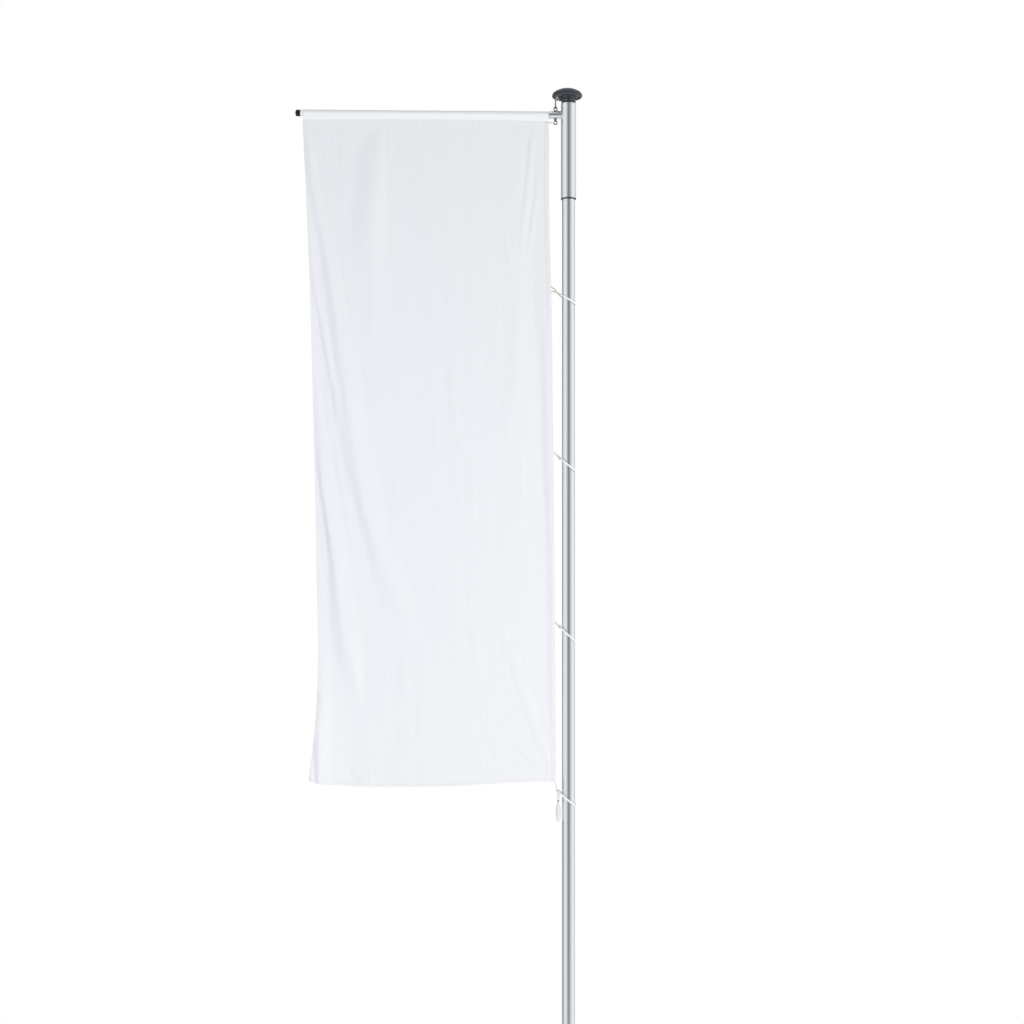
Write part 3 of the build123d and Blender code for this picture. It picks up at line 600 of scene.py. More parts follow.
# ---------------- the banner
# The banner's folds, from the top down. Each station is a height, then the fold's foot on the boom's
# end side, its crest and its foot on the mast side at that height, and how far the crest stands out.
CRISP_FOLDS = [
    # the long fold that falls from the outer top corner
    [(7.79, -1.592, -1.578, -1.56, 0), (7.7, -1.596, -1.56, -1.53, 0.004),
     (7.47, -1.582, -1.536, -1.49, 0.008), (7.25, -1.545, -1.494, -1.445, 0.011),
     (6.97, -1.495, -1.443, -1.375, 0.012), (6.68, -1.458, -1.397, -1.32, 0.014),
     (6.4, -1.425, -1.36, -1.26, 0.015), (6.18, -1.42, -1.328, -1.21, 0.017),
     (5.95, -1.39, -1.3, -1.18, 0.017), (5.76, -1.358, -1.27, -1.15, 0.017),
     (5.56, -1.308, -1.235, -1.11, 0.017), (5.38, -1.265, -1.19, -1.065, 0.015),
     (5.2, -1.22, -1.13, -1.005, 0.013), (5.05, -1.185, -1.072, -0.955, 0.011),
     (4.92, -1.145, -1.015, -0.912, 0.009), (4.82, -1.11, -0.972, -0.89, 0.006),
     (4.72, -1.05, -0.935, -0.88, 0.002), (4.64, -1.000, -0.92, -0.88, 0)],
    # the lower fold, from the free edge inwards
    [(6.3, -1.53, -1.518, -1.495, 0), (6.1, -1.53, -1.505, -1.46, 0.003),
     (5.9, -1.528, -1.49, -1.44, 0.007), (5.73, -1.52, -1.482, -1.4, 0.012),
     (5.46, -1.484, -1.447, -1.35, 0.015), (5.18, -1.45, -1.405, -1.3, 0.016),
     (4.93, -1.452, -1.372, -1.265, 0.016), (4.75, -1.446, -1.345, -1.238, 0.016),
     (4.62, -1.43, -1.318, -1.23, 0.015), (4.5, -1.402, -1.288, -1.225, 0.012),
     (4.4, -1.365, -1.265, -1.222, 0.007), (4.33, -1.32, -1.248, -1.218, 0.003),
     (4.27, -1.28, -1.238, -1.215, 0)],
    # the narrow fold between them
    [(7.12, -1.566, -1.553, -1.535, 0), (6.9, -1.55, -1.527, -1.5, 0.004),
     (6.77, -1.538, -1.512, -1.478, 0.007), (6.53, -1.494, -1.466, -1.43, 0.009),
     (6.28, -1.45, -1.422, -1.385, 0.009), (6.15, -1.428, -1.398, -1.355, 0.008),
     (6.02, -1.408, -1.378, -1.33, 0.005), (5.9, -1.385, -1.355, -1.31, 0.002),
     (5.8, -1.37, -1.34, -1.3, 0)],
    # the free edge, which stands forward above and below
    [(7.62, -1.7, -1.595, -1.5, 0), (7.3, -1.69, -1.575, -1.48, 0.005),
     (7.03, -1.68, -1.562, -1.48, 0.006), (6.61, -1.67, -1.55, -1.49, 0.005),
     (6.13, -1.65, -1.535, -1.48, 0.004), (5.7, -1.64, -1.525, -1.48, 0)],
    [(5.25, -1.6, -1.508, -1.44, 0), (4.95, -1.6, -1.505, -1.415, 0.005),
     (4.63, -1.6, -1.503, -1.39, 0.007), (4.42, -1.6, -1.503, -1.37, 0)],
    # the lower corner of the free edge, which stands forward, and the ridge inside its hem
    [(4.66, -1.64, -1.54, -1.38, 0), (4.5, -1.64, -1.545, -1.345, 0.008),
     (4.39, -1.64, -1.55, -1.32, 0.014), (4.24, -1.64, -1.555, -1.3, 0.019),
     (4.12, -1.64, -1.558, -1.29, 0.021), (4.05, -1.64, -1.556, -1.285, 0.021),
     (3.99, -1.64, -1.548, -1.28, 0.021), (3.92, -1.64, -1.542, -1.28, 0.02),
     (3.8, -1.64, -1.542, -1.28, 0.018)],
    [(4.62, -1.53, -1.48, -1.44, 0), (4.45, -1.535, -1.478, -1.43, 0.006),
     (4.3, -1.538, -1.48, -1.42, 0.009), (4.12, -1.54, -1.488, -1.41, 0.011),
     (4.03, -1.536, -1.49, -1.41, 0.012), (3.95, -1.528, -1.494, -1.41, 0.01),
     (3.88, -1.522, -1.496, -1.41, 0.009), (3.8, -1.52, -1.496, -1.41, 0.008)],
    # the soft upright fold under the boom
    [(7.79, -1.17, -1.13, -1.1, 0.002), (7.6, -1.29, -1.146, -1.082, 0.008),
     (7.4, -1.32, -1.165, -1.075, 0.014), (7.1, -1.32, -1.178, -1.075, 0.014),
     (6.9, -1.3, -1.178, -1.075, 0.008), (6.6, -1.26, -1.17, -1.085, 0.004),
     (6.3, -1.24, -1.15, -1.08, 0)],
    # the fan under the mast side's top corner
    [(7.79, -0.225, -0.205, -0.18, 0.001), (7.7, -0.245, -0.215, -0.188, 0.004),
     (7.55, -0.262, -0.23, -0.198, 0.005), (7.4, -0.275, -0.245, -0.21, 0.005),
     (7.25, -0.288, -0.26, -0.222, 0.004), (7.1, -0.302, -0.277, -0.237, 0.002),
     (6.94, -0.31, -0.29, -0.255, 0)],
    [(7.52, -0.205, -0.182, -0.16, 0), (7.4, -0.212, -0.186, -0.163, 0.003),
     (7.25, -0.232, -0.207, -0.18, 0.004), (7.1, -0.252, -0.227, -0.2, 0.003),
     (6.95, -0.272, -0.25, -0.225, 0.001), (6.84, -0.285, -0.265, -0.24, 0)],
    # the fan out of the lower mast side corner
    [(4.8, -0.48, -0.43, -0.38, 0), (4.59, -0.392, -0.335, -0.282, 0.002),
     (4.49, -0.358, -0.3, -0.245, 0.003), (4.36, -0.312, -0.256, -0.2, 0.003),
     (4.24, -0.275, -0.222, -0.168, 0.003), (4.12, -0.23, -0.18, -0.135, 0.003),
     (3.99, -0.166, -0.126, -0.096, 0.002), (3.88, -0.124, -0.105, -0.086, 0)],
    [(4.07, -0.34, -0.3, -0.27, 0), (3.97, -0.272, -0.228, -0.192, 0.003),
     (3.9, -0.208, -0.172, -0.142, 0.003), (3.85, -0.152, -0.124, -0.1, 0.002),
     (3.81, -0.12, -0.105, -0.09, 0)],
    [(4.03, -0.48, -0.445, -0.41, 0), (3.965, -0.438, -0.402, -0.355, 0.002),
     (3.905, -0.315, -0.266, -0.218, 0.003), (3.87, -0.23, -0.192, -0.15, 0.002),
     (3.84, -0.16, -0.125, -0.095, 0)],
    [(3.91, -0.435, -0.405, -0.378, 0), (3.872, -0.408, -0.374, -0.338, 0.002),
     (3.84, -0.35, -0.315, -0.28, 0.002), (3.8, -0.3, -0.27, -0.24, 0)],
]
SOFT_FOLDS = [
    # thin folds beside the free edge
    [(6.47, -1.54, -1.53, -1.515, 0), (6.25, -1.53, -1.515, -1.495, 0.003),
     (6.05, -1.51, -1.49, -1.465, 0.003), (5.9, -1.48, -1.46, -1.435, 0.003),
     (5.75, -1.455, -1.435, -1.41, 0.002), (5.6, -1.44, -1.42, -1.395, 0)],
    [(5.92, -1.4, -1.385, -1.365, 0), (5.7, -1.39, -1.372, -1.35, 0.003),
     (5.45, -1.345, -1.325, -1.3, 0.003), (5.15, -1.295, -1.278, -1.255, 0)],
    [(5.42, -1.525, -1.515, -1.505, 0), (5.25, -1.52, -1.508, -1.494, 0.002),
     (5.05, -1.505, -1.49, -1.474, 0.003), (4.88, -1.495, -1.478, -1.455, 0)],
    # creases of the free edge's lower corner
    [(3.99, -1.56, -1.55, -1.536, 0), (3.93, -1.552, -1.539, -1.52, 0.007),
     (3.88, -1.55, -1.537, -1.516, 0.01), (3.8, -1.548, -1.535, -1.514, 0.01)],
    [(4.39, -1.5, -1.488, -1.476, 0), (4.33, -1.488, -1.474, -1.46, 0.009),
     (4.25, -1.464, -1.45, -1.438, 0)],
    [(3.94, -1.3, -1.285, -1.27, 0), (3.89, -1.285, -1.262, -1.24, 0.007),
     (3.85, -1.25, -1.222, -1.2, 0.007), (3.8, -1.225, -1.2, -1.18, 0.002)],
    [(3.92, -1.2, -1.188, -1.172, 0), (3.86, -1.195, -1.18, -1.164, 0.005),
     (3.8, -1.19, -1.176, -1.162, 0.005)],
    # the short fan under the outer top corner
    [(7.79, -1.432, -1.42, -1.405, 0), (7.73, -1.42, -1.408, -1.392, 0.003),
     (7.66, -1.412, -1.398, -1.382, 0)],
    [(7.79, -1.362, -1.352, -1.34, 0.001), (7.74, -1.355, -1.344, -1.331, 0.003),
     (7.68, -1.345, -1.334, -1.322, 0)],
    [(7.7, -1.395, -1.378, -1.36, 0), (7.58, -1.372, -1.354, -1.336, 0.004),
     (7.5, -1.348, -1.33, -1.31, 0.004), (7.44, -1.318, -1.298, -1.278, 0.002),
     (7.39, -1.285, -1.265, -1.245, 0)],
    [(7.7, -1.475, -1.458, -1.438, 0), (7.56, -1.458, -1.44, -1.42, 0.003),
     (7.46, -1.425, -1.406, -1.386, 0.003), (7.36, -1.385, -1.366, -1.345, 0.002),
     (7.22, -1.335, -1.315, -1.29, 0)],
    # thin uprights under the hem
    [(7.78, -1.085, -1.072, -1.055, 0.001), (7.66, -1.08, -1.066, -1.048, 0.003),
     (7.5, -1.076, -1.06, -1.04, 0.001), (7.35, -1.07, -1.055, -1.035, 0)],
    [(7.79, -0.995, -0.982, -0.965, 0.001), (7.7, -0.992, -0.978, -0.96, 0.002),
     (7.58, -0.985, -0.972, -0.955, 0)],
    # the short creases beside the mast side's fan
    [(7.79, -0.3, -0.25, -0.228, 0.001), (7.7, -0.32, -0.262, -0.24, 0.003),
     (7.5, -0.335, -0.28, -0.258, 0.003), (7.28, -0.345, -0.295, -0.272, 0)],
    [(7.79, -0.188, -0.175, -0.158, 0.001), (7.7, -0.185, -0.17, -0.152, 0.003),
     (7.6, -0.175, -0.16, -0.142, 0.002), (7.51, -0.17, -0.155, -0.138, 0)],
    [(7.17, -0.395, -0.382, -0.366, 0), (7.07, -0.385, -0.37, -0.352, 0.005),
     (6.98, -0.366, -0.348, -0.33, 0.005), (6.92, -0.348, -0.332, -0.315, 0)],
    # soft folds along the mast side
    [(6.82, -0.3, -0.28, -0.24, 0), (6.6, -0.322, -0.288, -0.24, 0.005),
     (6.4, -0.332, -0.298, -0.245, 0.006), (6.25, -0.348, -0.312, -0.25, 0.006),
     (6.1, -0.375, -0.335, -0.27, 0.005), (5.95, -0.395, -0.36, -0.3, 0.003),
     (5.65, -0.41, -0.38, -0.33, 0)],
    [(6.86, -0.255, -0.24, -0.222, 0), (6.74, -0.252, -0.236, -0.216, 0.003),
     (6.6, -0.248, -0.23, -0.208, 0.003), (6.4, -0.25, -0.228, -0.2, 0.002),
     (6.05, -0.265, -0.24, -0.2, 0)],
    [(6.32, -0.725, -0.705, -0.68, 0), (6.18, -0.718, -0.695, -0.668, 0.003),
     (6.02, -0.695, -0.67, -0.64, 0.003), (5.88, -0.672, -0.645, -0.605, 0.002),
     (5.74, -0.65, -0.62, -0.58, 0)],
    [(5.87, -0.625, -0.6, -0.565, 0), (5.7, -0.61, -0.585, -0.55, 0.003),
     (5.5, -0.595, -0.57, -0.54, 0.003), (5.29, -0.585, -0.56, -0.53, 0)],
    [(5.74, -0.535, -0.51, -0.48, 0), (5.6, -0.53, -0.505, -0.475, 0.002),
     (5.48, -0.52, -0.495, -0.465, 0.002), (5.36, -0.51, -0.485, -0.455, 0)],
    [(5.92, -0.31, -0.288, -0.255, 0), (5.75, -0.308, -0.285, -0.25, 0.004),
     (5.5, -0.308, -0.285, -0.25, 0.004), (5.25, -0.312, -0.29, -0.255, 0)],
    # faint folds above the bottom edge
    [(4.35, -0.655, -0.635, -0.61, 0), (4.25, -0.63, -0.605, -0.58, 0.002),
     (4.18, -0.605, -0.58, -0.552, 0.002), (4.09, -0.585, -0.56, -0.532, 0)],
    [(4.82, -0.6, -0.575, -0.545, 0), (4.68, -0.58, -0.552, -0.52, 0.003),
     (4.55, -0.555, -0.525, -0.492, 0.003), (4.4, -0.53, -0.5, -0.465, 0)],
    [(4.9, -0.475, -0.455, -0.435, 0), (4.75, -0.465, -0.442, -0.418, 0.002),
     (4.6, -0.455, -0.43, -0.405, 0.001), (4.48, -0.45, -0.425, -0.4, 0)],
    # the last faint folds beyond the long fold's foot
    [(4.72, -1.045, -1.02, -0.992, 0), (4.6, -1.035, -1.008, -0.978, 0.002),
     (4.45, -1.000, -0.972, -0.94, 0.002), (4.33, -0.975, -0.95, -0.92, 0)],
]
# where the cloth lies back before it rises to the webbing down the mast side
HOLLOWS = [
    [(7.4, -0.3, -0.215, -0.15, 0), (7.03, -0.33, -0.215, -0.132, 0.004),
     (6.61, -0.34, -0.21, -0.127, 0.008), (6.43, -0.32, -0.185, -0.125, 0.008),
     (6.13, -0.3, -0.175, -0.12, 0.008), (5.71, -0.3, -0.16, -0.115, 0.008),
     (5.53, -0.29, -0.148, -0.113, 0.007), (5.29, -0.28, -0.145, -0.108, 0.005),
     (4.93, -0.27, -0.135, -0.104, 0.004), (4.33, -0.25, -0.13, -0.1, 0.003),
     (4.05, -0.24, -0.13, -0.098, 0)],
]


def fold_height(folds, x, z, spread=1.0):
    """How far the folds stand out of the banner's plane; spread widens their flanks on the free side."""
    total = np.zeros_like(x)
    for fold in folds:
        stations = np.array(fold[::-1])
        heights = stations[:, 0]
        foot, crest, far_foot, height = (line_through(heights, stations[:, k], z) for k in (1, 2, 3, 4))
        inside = (z > heights[0]) & (z < heights[-1])
        rise = ease(crest - spread * (crest - foot), crest, x)
        total += inside * np.maximum(height, 0) * rise * (1 - ease(crest, far_foot, x))
    return total


def ripples(x, z, kinds):
    """Soft random ripples, summed over kinds given as (height, length along x, length along z)."""
    total = np.zeros_like(x)
    for height, across, down in kinds:
        flat = [noise.noise((px / across, pz / down, RIPPLE_SLICE)) for px, pz in zip(x.ravel(), z.ravel())]
        total += height * np.array(flat).reshape(x.shape)
    return total


def seam_z(x):
    """The height of the seam under the hem tunnel, at every x."""
    points = np.array(SEAM)
    return line_through(points[:, 0], points[:, 1], np.asarray(x, dtype=float))


def outline_at(edge, z):
    """The x of one of the banner's upright edges at every z."""
    points = np.array(edge[::-1])
    return line_through(points[:, 1], points[:, 0], z)


def cloth_surface(u, v):
    """Points of the hanging cloth; u runs from the free edge to the mast, v from the seam down."""
    left_top, right_top = SEAM[0][0], SEAM[-1][0]
    top = seam_z(left_top + (right_top - left_top) * u)
    shares, depths = np.array(BOTTOM_EDGE).T
    z = top + (line_through(shares, depths, u) - top) * v
    left = outline_at(LEFT_EDGE, z)
    right = outline_at(MAST_EDGE, z) - BAND_WIDTH / 2
    x = left + (right - left) * u
    hang, taut = ease(0.0, HANG_SHARE, v), ease(1.0, TAUT_SHARE, u)
    folds = CRISP_SCALE * (fold_height(CRISP_FOLDS, x, z) - fold_height(HOLLOWS, x, z))
    folds += SOFT_SCALE * fold_height(SOFT_FOLDS, x, z, SOFT_SPREAD)
    hanging = (folds + ripples(x, z, CRINKLES)) * hang * taut
    belly = BELLY * np.sin(math.pi * u) * ease(0.0, 0.5, v)
    belly *= 1 - BELLY_SWAY + BELLY_SWAY * np.cos(math.tau * (u + BELLY_SLANT * v))
    begin, end = PUCKER_SHARES
    puckers = ripples(x, z, PUCKERS) * ease(0.0, begin, v) * ease(end, 0.0, v)
    edge_waves = ripples(x, z, HEM_WAVES) * ease(HEM_WAVE_SHARE, 0.0, u) * hang
    forward = hanging + (belly + puckers) * taut + edge_waves
    return np.stack([x, -forward, z], axis=-1)


def banner_cloth():
    """The hanging cloth itself, one sheet without its hems."""
    u, v = np.meshgrid(np.linspace(0, 1, CLOTH_COLUMNS + 1), np.linspace(0, 1, CLOTH_ROWS + 1))
    points = cloth_surface(u, v).reshape(-1, 3).tolist()
    faces = grid_faces(CLOTH_ROWS + 1, CLOTH_COLUMNS + 1)
    cloth = add_piece("banner_cloth", points, faces, "carrier", "banner_cloth")
    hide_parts("banner_panel")
    return cloth


def folded_hem(name, edge_u, edge_v, inner_u, inner_v):
    """A hem turned over the cloth's edge, and two rows of stitches along it, front and back."""
    shares = np.linspace(0, 1, HEM_STEPS + 1)[:, None]
    lines = cloth_surface(edge_u + (inner_u - edge_u) * shares, edge_v + (inner_v - edge_v) * shares)
    front, back = lines.copy(), lines.copy()
    front[..., 1] -= HEM_HALF_THICKNESS
    back[..., 1] += HEM_HALF_THICKNESS
    around = np.concatenate([front[::-1], back])
    points = around.transpose(1, 0, 2).reshape(-1, 3).tolist()
    faces = grid_faces(len(edge_u), len(around), closed=True)
    hem = add_piece(name, points, faces, "carrier", "banner_cloth", look="doubled_cloth")
    rows = [(wall[k], side) for wall, side in ((front, FRONT), (back, BACK)) for k in (1, HEM_STEPS - 1)]
    return [hem, stitched(name + "_stitches", rows)]


def side_hem():
    """The narrow hem down the free edge."""
    v = np.linspace(0.0, 1.0, SIDE_HEM_STATIONS)
    edge = np.zeros_like(v)
    return folded_hem("free_edge_hem", edge, v, edge + HEM_WIDTH / CLOTH_FLAT[0], v)


def bottom_hem():
    """The narrow hem along the bottom edge."""
    u = np.linspace(0.0, 1.0, BOTTOM_HEM_STATIONS)
    edge = np.ones_like(u)
    return folded_hem("bottom_hem", u, edge, u, edge - HEM_WIDTH / CLOTH_FLAT[1])


def tunnel_skirt(x, side, radius, lean):
    """The tunnel's front or back wall at x, from the seam up to where it touches the boom's round."""
    centre, bottom = boom_centre_z(x), float(seam_z(x))
    foot_y, touch_y = side * TUNNEL_GAP, side * radius * math.cos(lean)
    touch_z = centre - radius * math.sin(lean)
    wall = []
    for k in range(SKIRT_STEPS):
        t = k / SKIRT_STEPS
        gather = TUNNEL_GATHER * abs(noise.noise((x * GATHER_RATE, side * 3.0, t * 2)))
        gather *= (1 - abs(2 * t - 0.9)) * float(ease(0, 0.2, t))
        y = foot_y + (touch_y - foot_y) * t + side * gather
        wall.append((x, y, bottom + (touch_z - bottom) * t))
    return wall


def tunnel_section(x):
    """The tunnel's outline at x: up the front, over the boom and down the back."""
    centre, bottom = boom_centre_z(x), float(seam_z(x))
    radius = BOOM_RADIUS + TUNNEL_SLACK + TUNNEL_WAVER * (1 + noise.noise((x * WAVER_RATE, 0.3, 0.9)))
    lean = math.asin(min((radius - TUNNEL_GAP) / (centre - bottom), 0.9))
    over = []
    for k in range(OVER_STEPS + 1):
        angle = math.pi + lean - (math.pi + 2 * lean) * k / OVER_STEPS
        ripple = radius + TUNNEL_RIPPLE * abs(noise.noise((x * RIPPLE_RATE, math.cos(angle) * 3, 5.1)))
        over.append((x, ripple * math.cos(angle), centre + ripple * math.sin(angle)))
    return tunnel_skirt(x, -1, radius, lean) + over + tunnel_skirt(x, 1, radius, lean)[::-1]


def banner_tunnel():
    """The hem that the boom runs through, with two rows of stitches each side above its seam."""
    width = TUNNEL_RIGHT_X - TUNNEL_LEFT_X
    stations = range(TUNNEL_STATIONS + 1)
    sections = [tunnel_section(TUNNEL_LEFT_X + width * i / TUNNEL_STATIONS) for i in stations]
    points = [point for section in sections for point in section]
    faces = grid_faces(len(sections), len(sections[0]))
    tunnel = add_piece("banner_tunnel_cloth", points, faces, "carrier", "banner_cloth", look="hem_cloth")
    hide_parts("banner_tunnel")
    seams = ((0, FRONT), (1, FRONT), (-1, BACK), (-2, BACK))
    rows = [([section[k] for section in sections], side) for k, side in seams]
    return [tunnel, stitched("tunnel_stitches", rows)]


def edge_band():
    """The webbing down the mast side, a closed strip with rounded selvedges, and its stitches."""
    front_face = [(share, -lift) for share, lift in BAND_PROFILE]
    back_face = [(share, lift) for share, lift in BAND_PROFILE[::-1]]
    section = front_face + back_face
    top, bottom = MAST_EDGE[0][1] - BAND_DROP, MAST_EDGE[-1][1] - BAND_DROP
    points, front, back = [], [[], []], [[], []]
    for i in range(BAND_ROWS + 1):
        z = top + (bottom - top) * i / BAND_ROWS
        inner = float(outline_at(MAST_EDGE, z)) - BAND_WIDTH
        wave = BAND_WAVE * noise.noise((1.0, z * BAND_WAVE_RATE, 2.0))
        for share, lift in section:
            points.append((inner + BAND_WIDTH * share, lift * BAND_HALF_THICKNESS + wave, z))
        for number, share in enumerate(BAND_SEAMS):
            front[number].append((inner + BAND_WIDTH * share, wave - BAND_HALF_THICKNESS, z))
            back[number].append((inner + BAND_WIDTH * share, wave + BAND_HALF_THICKNESS, z))
    columns = len(section)
    faces = grid_faces(BAND_ROWS + 1, columns, closed=True)
    faces += [face[::-1] for face in end_faces(BAND_ROWS + 1, columns)]
    band = add_piece("banner_edge_webbing", points, faces, "carrier", "white_webbing")
    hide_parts("banner_edge_band")
    rows = [(line, FRONT) for line in front] + [(line, BACK) for line in back]
    return [band, stitched("webbing_stitches", rows)]


# ---------------- the rope and the cords
def halyard_rope():
    """The taut rope from the guide pulley to its loop; the real rope lengthens as the boom comes down, but
    this one stays as it is made.
    """
    low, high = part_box("halyard")
    top, bottom = Vector((ROPE_X, 0, high.z)), Vector((ROPE_X, 0, low.z))
    path = straight(top, bottom, ROPE_STEP) + [bottom]
    rope = laid_cord("halyard_rope", path, (0, 1, 0), ROPE_RADIUS, ROPE_LAY, None, "grey_rope")
    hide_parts("halyard")
    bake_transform(rope)


def halyard_over_pulley():
    """The same rope where it turns over the guide pulley and goes into the neck."""
    pulley = middle("guide_pulley")
    wrap = pulley.x - ROPE_X
    _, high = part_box("halyard_top")
    count = int(math.pi / 2 * wrap / ROPE_STEP)
    path = turn_about(pulley, (-1, 0, 0), (0, 0, 1), wrap, 0, math.pi / 2, count)
    path += straight((pulley.x, 0, pulley.z + wrap), (high.x, 0, pulley.z + wrap), ROPE_STEP)
    rope = laid_cord("halyard_over_pulley", path, (0, 1, 0), ROPE_RADIUS, ROPE_LAY, "head", "grey_rope")
    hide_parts("halyard_top")


def halyard_eye():
    """The rope's spliced loop through the eye bolt, with thread wound round its throat."""
    low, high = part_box("halyard_loop")
    radius = (high.z - low.z) / 2 - EYE_RADIUS
    turn = math.atan2(high.x - low.x - 2 * EYE_RADIUS, high.y - low.y - 2 * EYE_RADIUS)
    along = (-math.sin(turn), math.cos(turn), 0)
    steps = int(math.tau * radius / ROPE_STEP)
    path = round_section(middle("halyard_loop"), along, (0, 0, 1), radius, steps)
    side = Vector((0, 0, 1)).cross(Vector(along))
    loop = laid_cord("halyard_eye", path, side, EYE_RADIUS, EYE_LAY, "carrier", "grey_rope", ring=True)
    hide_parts("halyard_loop")
    foot = (ROPE_X, 0, high.z - WHIPPING_OVERLAP)
    wound("halyard_whipping", foot, (0, 0, 1), ROPE_RADIUS + WHIPPING_THREAD / 2, WHIPPING_TURNS,
          WHIPPING_THREAD, "grey_rope")


def fuller_cord(node_name, slot_name, look=None):
    """The same cord as its plain rod, a little thicker all round."""
    source = nodes[node_name]
    spots, points, outward, faces = {}, [], [], []
    for face in source.data.polygons:
        corners = []
        for index in face.vertices:
            place = source.matrix_world @ source.data.vertices[index].co
            key = place.to_tuple(6)
            if key not in spots:
                spots[key] = len(points)
                points.append(place)
                outward.append(Vector((0, 0, 0)))
            outward[spots[key]] += face.normal * face.area
            corners.append(spots[key])
        faces.append(corners)
    swollen = [point + FULLNESS * normal.normalized() for point, normal in zip(points, outward)]
    cord = add_piece(node_name + "_cord", swollen, faces, "carrier", slot_name, look=look)
    cord.data.set_sharp_from_angle(angle=EDGE_ANGLE)
    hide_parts(node_name)


def top_corner_hitch():
    """Turns of the cord round itself where it leaves the banner's top corner."""
    low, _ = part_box("top_corner_cord")
    foot = (low.x + HITCH_INSET, 0, middle("top_corner_cord").z)
    wound("top_corner_hitch", foot, (1, 0, 0), HITCH_RADIUS, HITCH_TURNS, HITCH_THREAD, "white_cord")


# ---------------- small metal and plastic details
def socket_weld():
    """The rippled bead where the boom's socket meets the sleeve."""
    points = []
    for i in range(WELD_TURNS):
        angle = math.tau * i / WELD_TURNS
        y = SOCKET_RADIUS * math.cos(angle)
        x = -math.sqrt(SLEEVE_RADIUS**2 - y**2)
        centre = Vector((x, y, boom_centre_z(x) + SOCKET_RADIUS * math.sin(angle)))
        out = (Vector((0, math.cos(angle), math.sin(angle))) + Vector((x, y, 0)).normalized()).normalized()
        bead = WELD_BEAD * (0.9 + 0.14 * abs(math.sin(angle * WELD_RIPPLES)))
        points += round_section(centre, out, (-1, 0, 0), bead, WELD_SIDES)
    faces = grid_faces(WELD_TURNS, WELD_SIDES, closed=True, ring=True)
    add_piece("socket_weld", points, faces, "carrier", "satin_aluminium")


def turned_ring(name, centre, outline, turns, body, slot_name):
    """A ring about an upright axis; its outline is given as (reach, height) pairs."""
    x, y, z = centre
    points = []
    for i in range(turns):
        angle = math.tau * i / turns
        points += [(x + reach * math.cos(angle), y + reach * math.sin(angle), z + height)
                   for reach, height in outline]
    faces = grid_faces(turns, len(outline), closed=True, ring=True)
    add_piece(name, points, faces, body, slot_name)


def mould_line():
    """The fine raised line round the cap where its mould parted."""
    low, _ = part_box("head_cap")
    radius = half_width("head_cap", 0)
    outline = [(radius + MOULD_LINE_RISE * out, MOULD_LINE_RISE * up) for out, up in MOULD_LINE_SECTION]
    centre = (middle("head_cap").x, 0, low.z + MOULD_LINE_HEIGHT)
    turned_ring("cap_mould_line", centre, outline, MOULD_LINE_TURNS, "head", "anthracite_plastic")


def cap_underside():
    """The cap's shallow underside, moulded in one with the neck; the pulley's bracket is let into it."""
    low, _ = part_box("head_cap")
    z = low.z + UNDERSIDE_DEPTH
    neck, cap = Vector((0, 0, z)), Vector((middle("head_cap").x, 0, z))
    points = []
    for i in range(UNDERSIDE_TURNS):
        angle = math.tau * i / UNDERSIDE_TURNS
        out = Vector((math.cos(angle), math.sin(angle), 0))
        inner, outer = neck + UNDERSIDE_INNER * out, cap + UNDERSIDE_OUTER * out
        below = []
        for k in range(UNDERSIDE_STEPS + 1):
            share = k / UNDERSIDE_STEPS
            sag = Vector((0, 0, UNDERSIDE_SAG * math.sin(math.pi * share)))
            below.append(inner.lerp(outer, share) - sag)
        points += below + [point + Vector((0, 0, UNDERSIDE_WALL)) for point in reversed(below)]
    faces = grid_faces(UNDERSIDE_TURNS, 2 * (UNDERSIDE_STEPS + 1), closed=True, ring=True)
    cover = add_piece("cap_underside", points, [face[::-1] for face in faces], "head", "anthracite_plastic")
    cover.data.set_sharp_from_angle(angle=EDGE_ANGLE)


def weight_ferrule():
    """The dark ferrule crimped round the weight's neck."""
    _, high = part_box("counterweight")
    centre = (middle("counterweight").x, 0, high.z - FERRULE_DROP)
    turned_ring("weight_ferrule", centre, FERRULE_OUTLINE, FERRULE_TURNS, "weight", "black_plastic")


# ---------------- surroundings
def make_floor():
    bpy.ops.mesh.primitive_circle_add(vertices=FLOOR_SIDES, radius=FLOOR_RADIUS, fill_type="NGON",
                                      location=(0, 0, -FLOOR_DROP))
    floor = bpy.context.object
    floor.name = "floor"
    floor.data.materials.append(pale_floor())


def area_light(name, place, aim, size, power, colour=(1.0, 1.0, 1.0)):
    data = bpy.data.lights.new(name, "AREA")
    data.shape = "DISK"
    data.size = size
    data.energy = power
    data.color = colour
    lamp = bpy.data.objects.new(name, data)
    lamp.location = place
    lamp.rotation_euler = (Vector(aim) - Vector(place)).to_track_quat("-Z", "Y").to_euler()
    bpy.context.scene.collection.objects.link(lamp)
    lamp.visible_camera = False
    lamp.visible_glossy = False


# what polished metal meets at each heading from the front, in degrees, and how bright it is there
SCREENS = [
    (-180, 0.3), (-165, 0.42), (-130, 0.32), (-108, 0.34), (-82, 0.92), (-52, 0.99), (-34, 0.81),
    (-20, 0.43), (-6, 0.2), (9, 0.2), (22, 0.42), (38, 0.68), (56, 0.94), (78, 1.06), (104, 0.92),
    (130, 0.77), (165, 0.45), (180, 0.3),
]
SCREEN_FOOT = (-0.52, -0.4)  # the heights, as parts of a unit ray, at which the screens begin and end
SCREEN_TOP = (0.8, 0.62)
BEYOND_SCREENS = 0.95
# the light all round, and how much more of it comes from below than from above
AMBIENT = 0.754
AMBIENT_TILT = 0.19


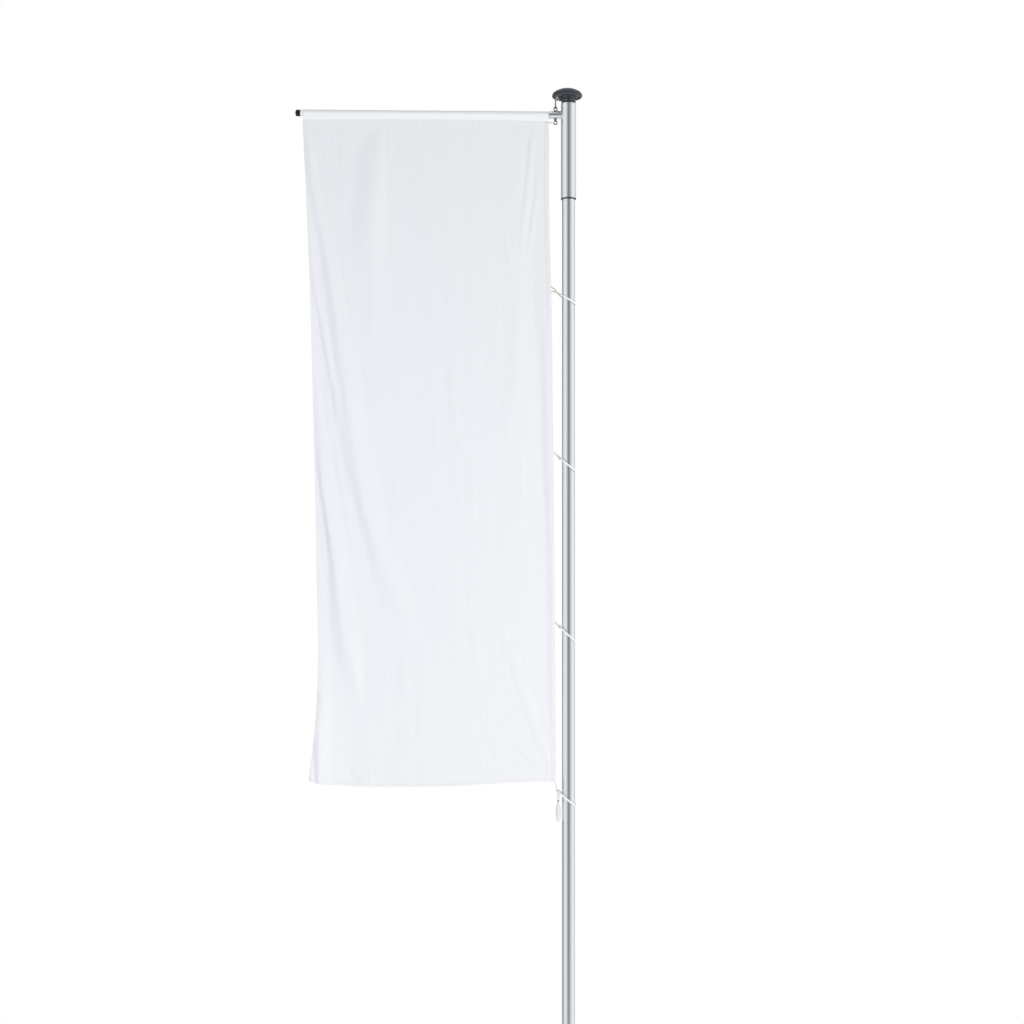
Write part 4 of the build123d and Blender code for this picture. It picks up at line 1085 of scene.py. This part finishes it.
def make_surroundings():
    """White all round for the eye; mirror-like metal also meets dark upright screens."""
    world = bpy.data.worlds.new("studio")
    bpy.context.scene.world = world
    world.use_nodes = True
    tree = Tree(world.node_tree)
    direction = tree.node("ShaderNodeTexCoord")["Generated"]
    parts = tree.node("ShaderNodeSeparateXYZ", None, {"Vector": direction})
    heading = tree.calc("ARCTAN2", parts["X"], parts["Y"] * -1)
    stops = [(0.5 + degrees / 360, grey(level)) for degrees, level in SCREENS]
    turn = heading / math.tau + 0.5
    screens = tree.node("ShaderNodeValToRGB", {"stops": stops}, {"Fac": turn})["Color"]
    beside = tree.smooth_step(parts["Z"], *SCREEN_FOOT) * tree.smooth_step(parts["Z"], *SCREEN_TOP)
    path = tree.node("ShaderNodeLightPath")
    around = tree.mix(beside, grey(BEYOND_SCREENS), screens)
    white = tree.mix(path["Is Glossy Ray"], grey(1.0), around)
    seen = tree.calc("MAXIMUM", path["Is Camera Ray"], path["Is Glossy Ray"])
    seen = tree.calc("MAXIMUM", seen, path["Is Transmission Ray"])
    ambient = tree.mix(parts["Z"] * 0.5 + 0.5, grey(AMBIENT + AMBIENT_TILT), grey(AMBIENT - AMBIENT_TILT))
    shader = world.node_tree.nodes["Background"]
    tree.link(shader.inputs["Color"], tree.mix(seen, ambient, white))
    shader.inputs["Strength"].default_value = 1.0


# ---------------- make everything
make_camera()
cloth = banner_cloth()
sewn = side_hem() + bottom_hem() + banner_tunnel() + edge_band()
halyard_rope()
halyard_over_pulley()
halyard_eye()
for number in (1, 2, 3, 4):
    fuller_cord(f"mast_loop_{number}", "white_loop_cord")
for cord_name in ("edge_tie_2", "edge_tie_3", "top_corner_cord", "bottom_corner_cord"):
    fuller_cord(cord_name, "white_cord")
# the first edge tie gets the darker cord: painted shade for its shadowed upper leg, spread over the whole
# tie
fuller_cord("edge_tie_1", "white_cord", look="shade_darkened_cord")
top_corner_hitch()
socket_weld()
mould_line()
cap_underside()
weight_ferrule()

slots = {row["node"]: row["material_slot"] for row in frame["record"]["subparts"]}
for name, node in nodes.items():
    node.data.materials.clear()
    node.data.materials.append(FINISHES[LOOKS.get(name, slots[name])])

make_floor()
make_surroundings()
area_light("key", place=(5.0, -7.0, 3.0), aim=(-0.7, 0.0, 5.0), size=3.0, power=360)
area_light("cool_fill", place=(-3.4, -1.4, 5.8), aim=(-1.5, 0.0, 5.6), size=3.0, power=12,
           colour=(0.56, 0.77, 1.0))
area_light("corner_fill", place=(-1.45, -1.2, 3.7), aim=(-1.42, 0.0, 4.05), size=0.6, power=0.6,
           colour=(1.0, 0.94, 0.86))
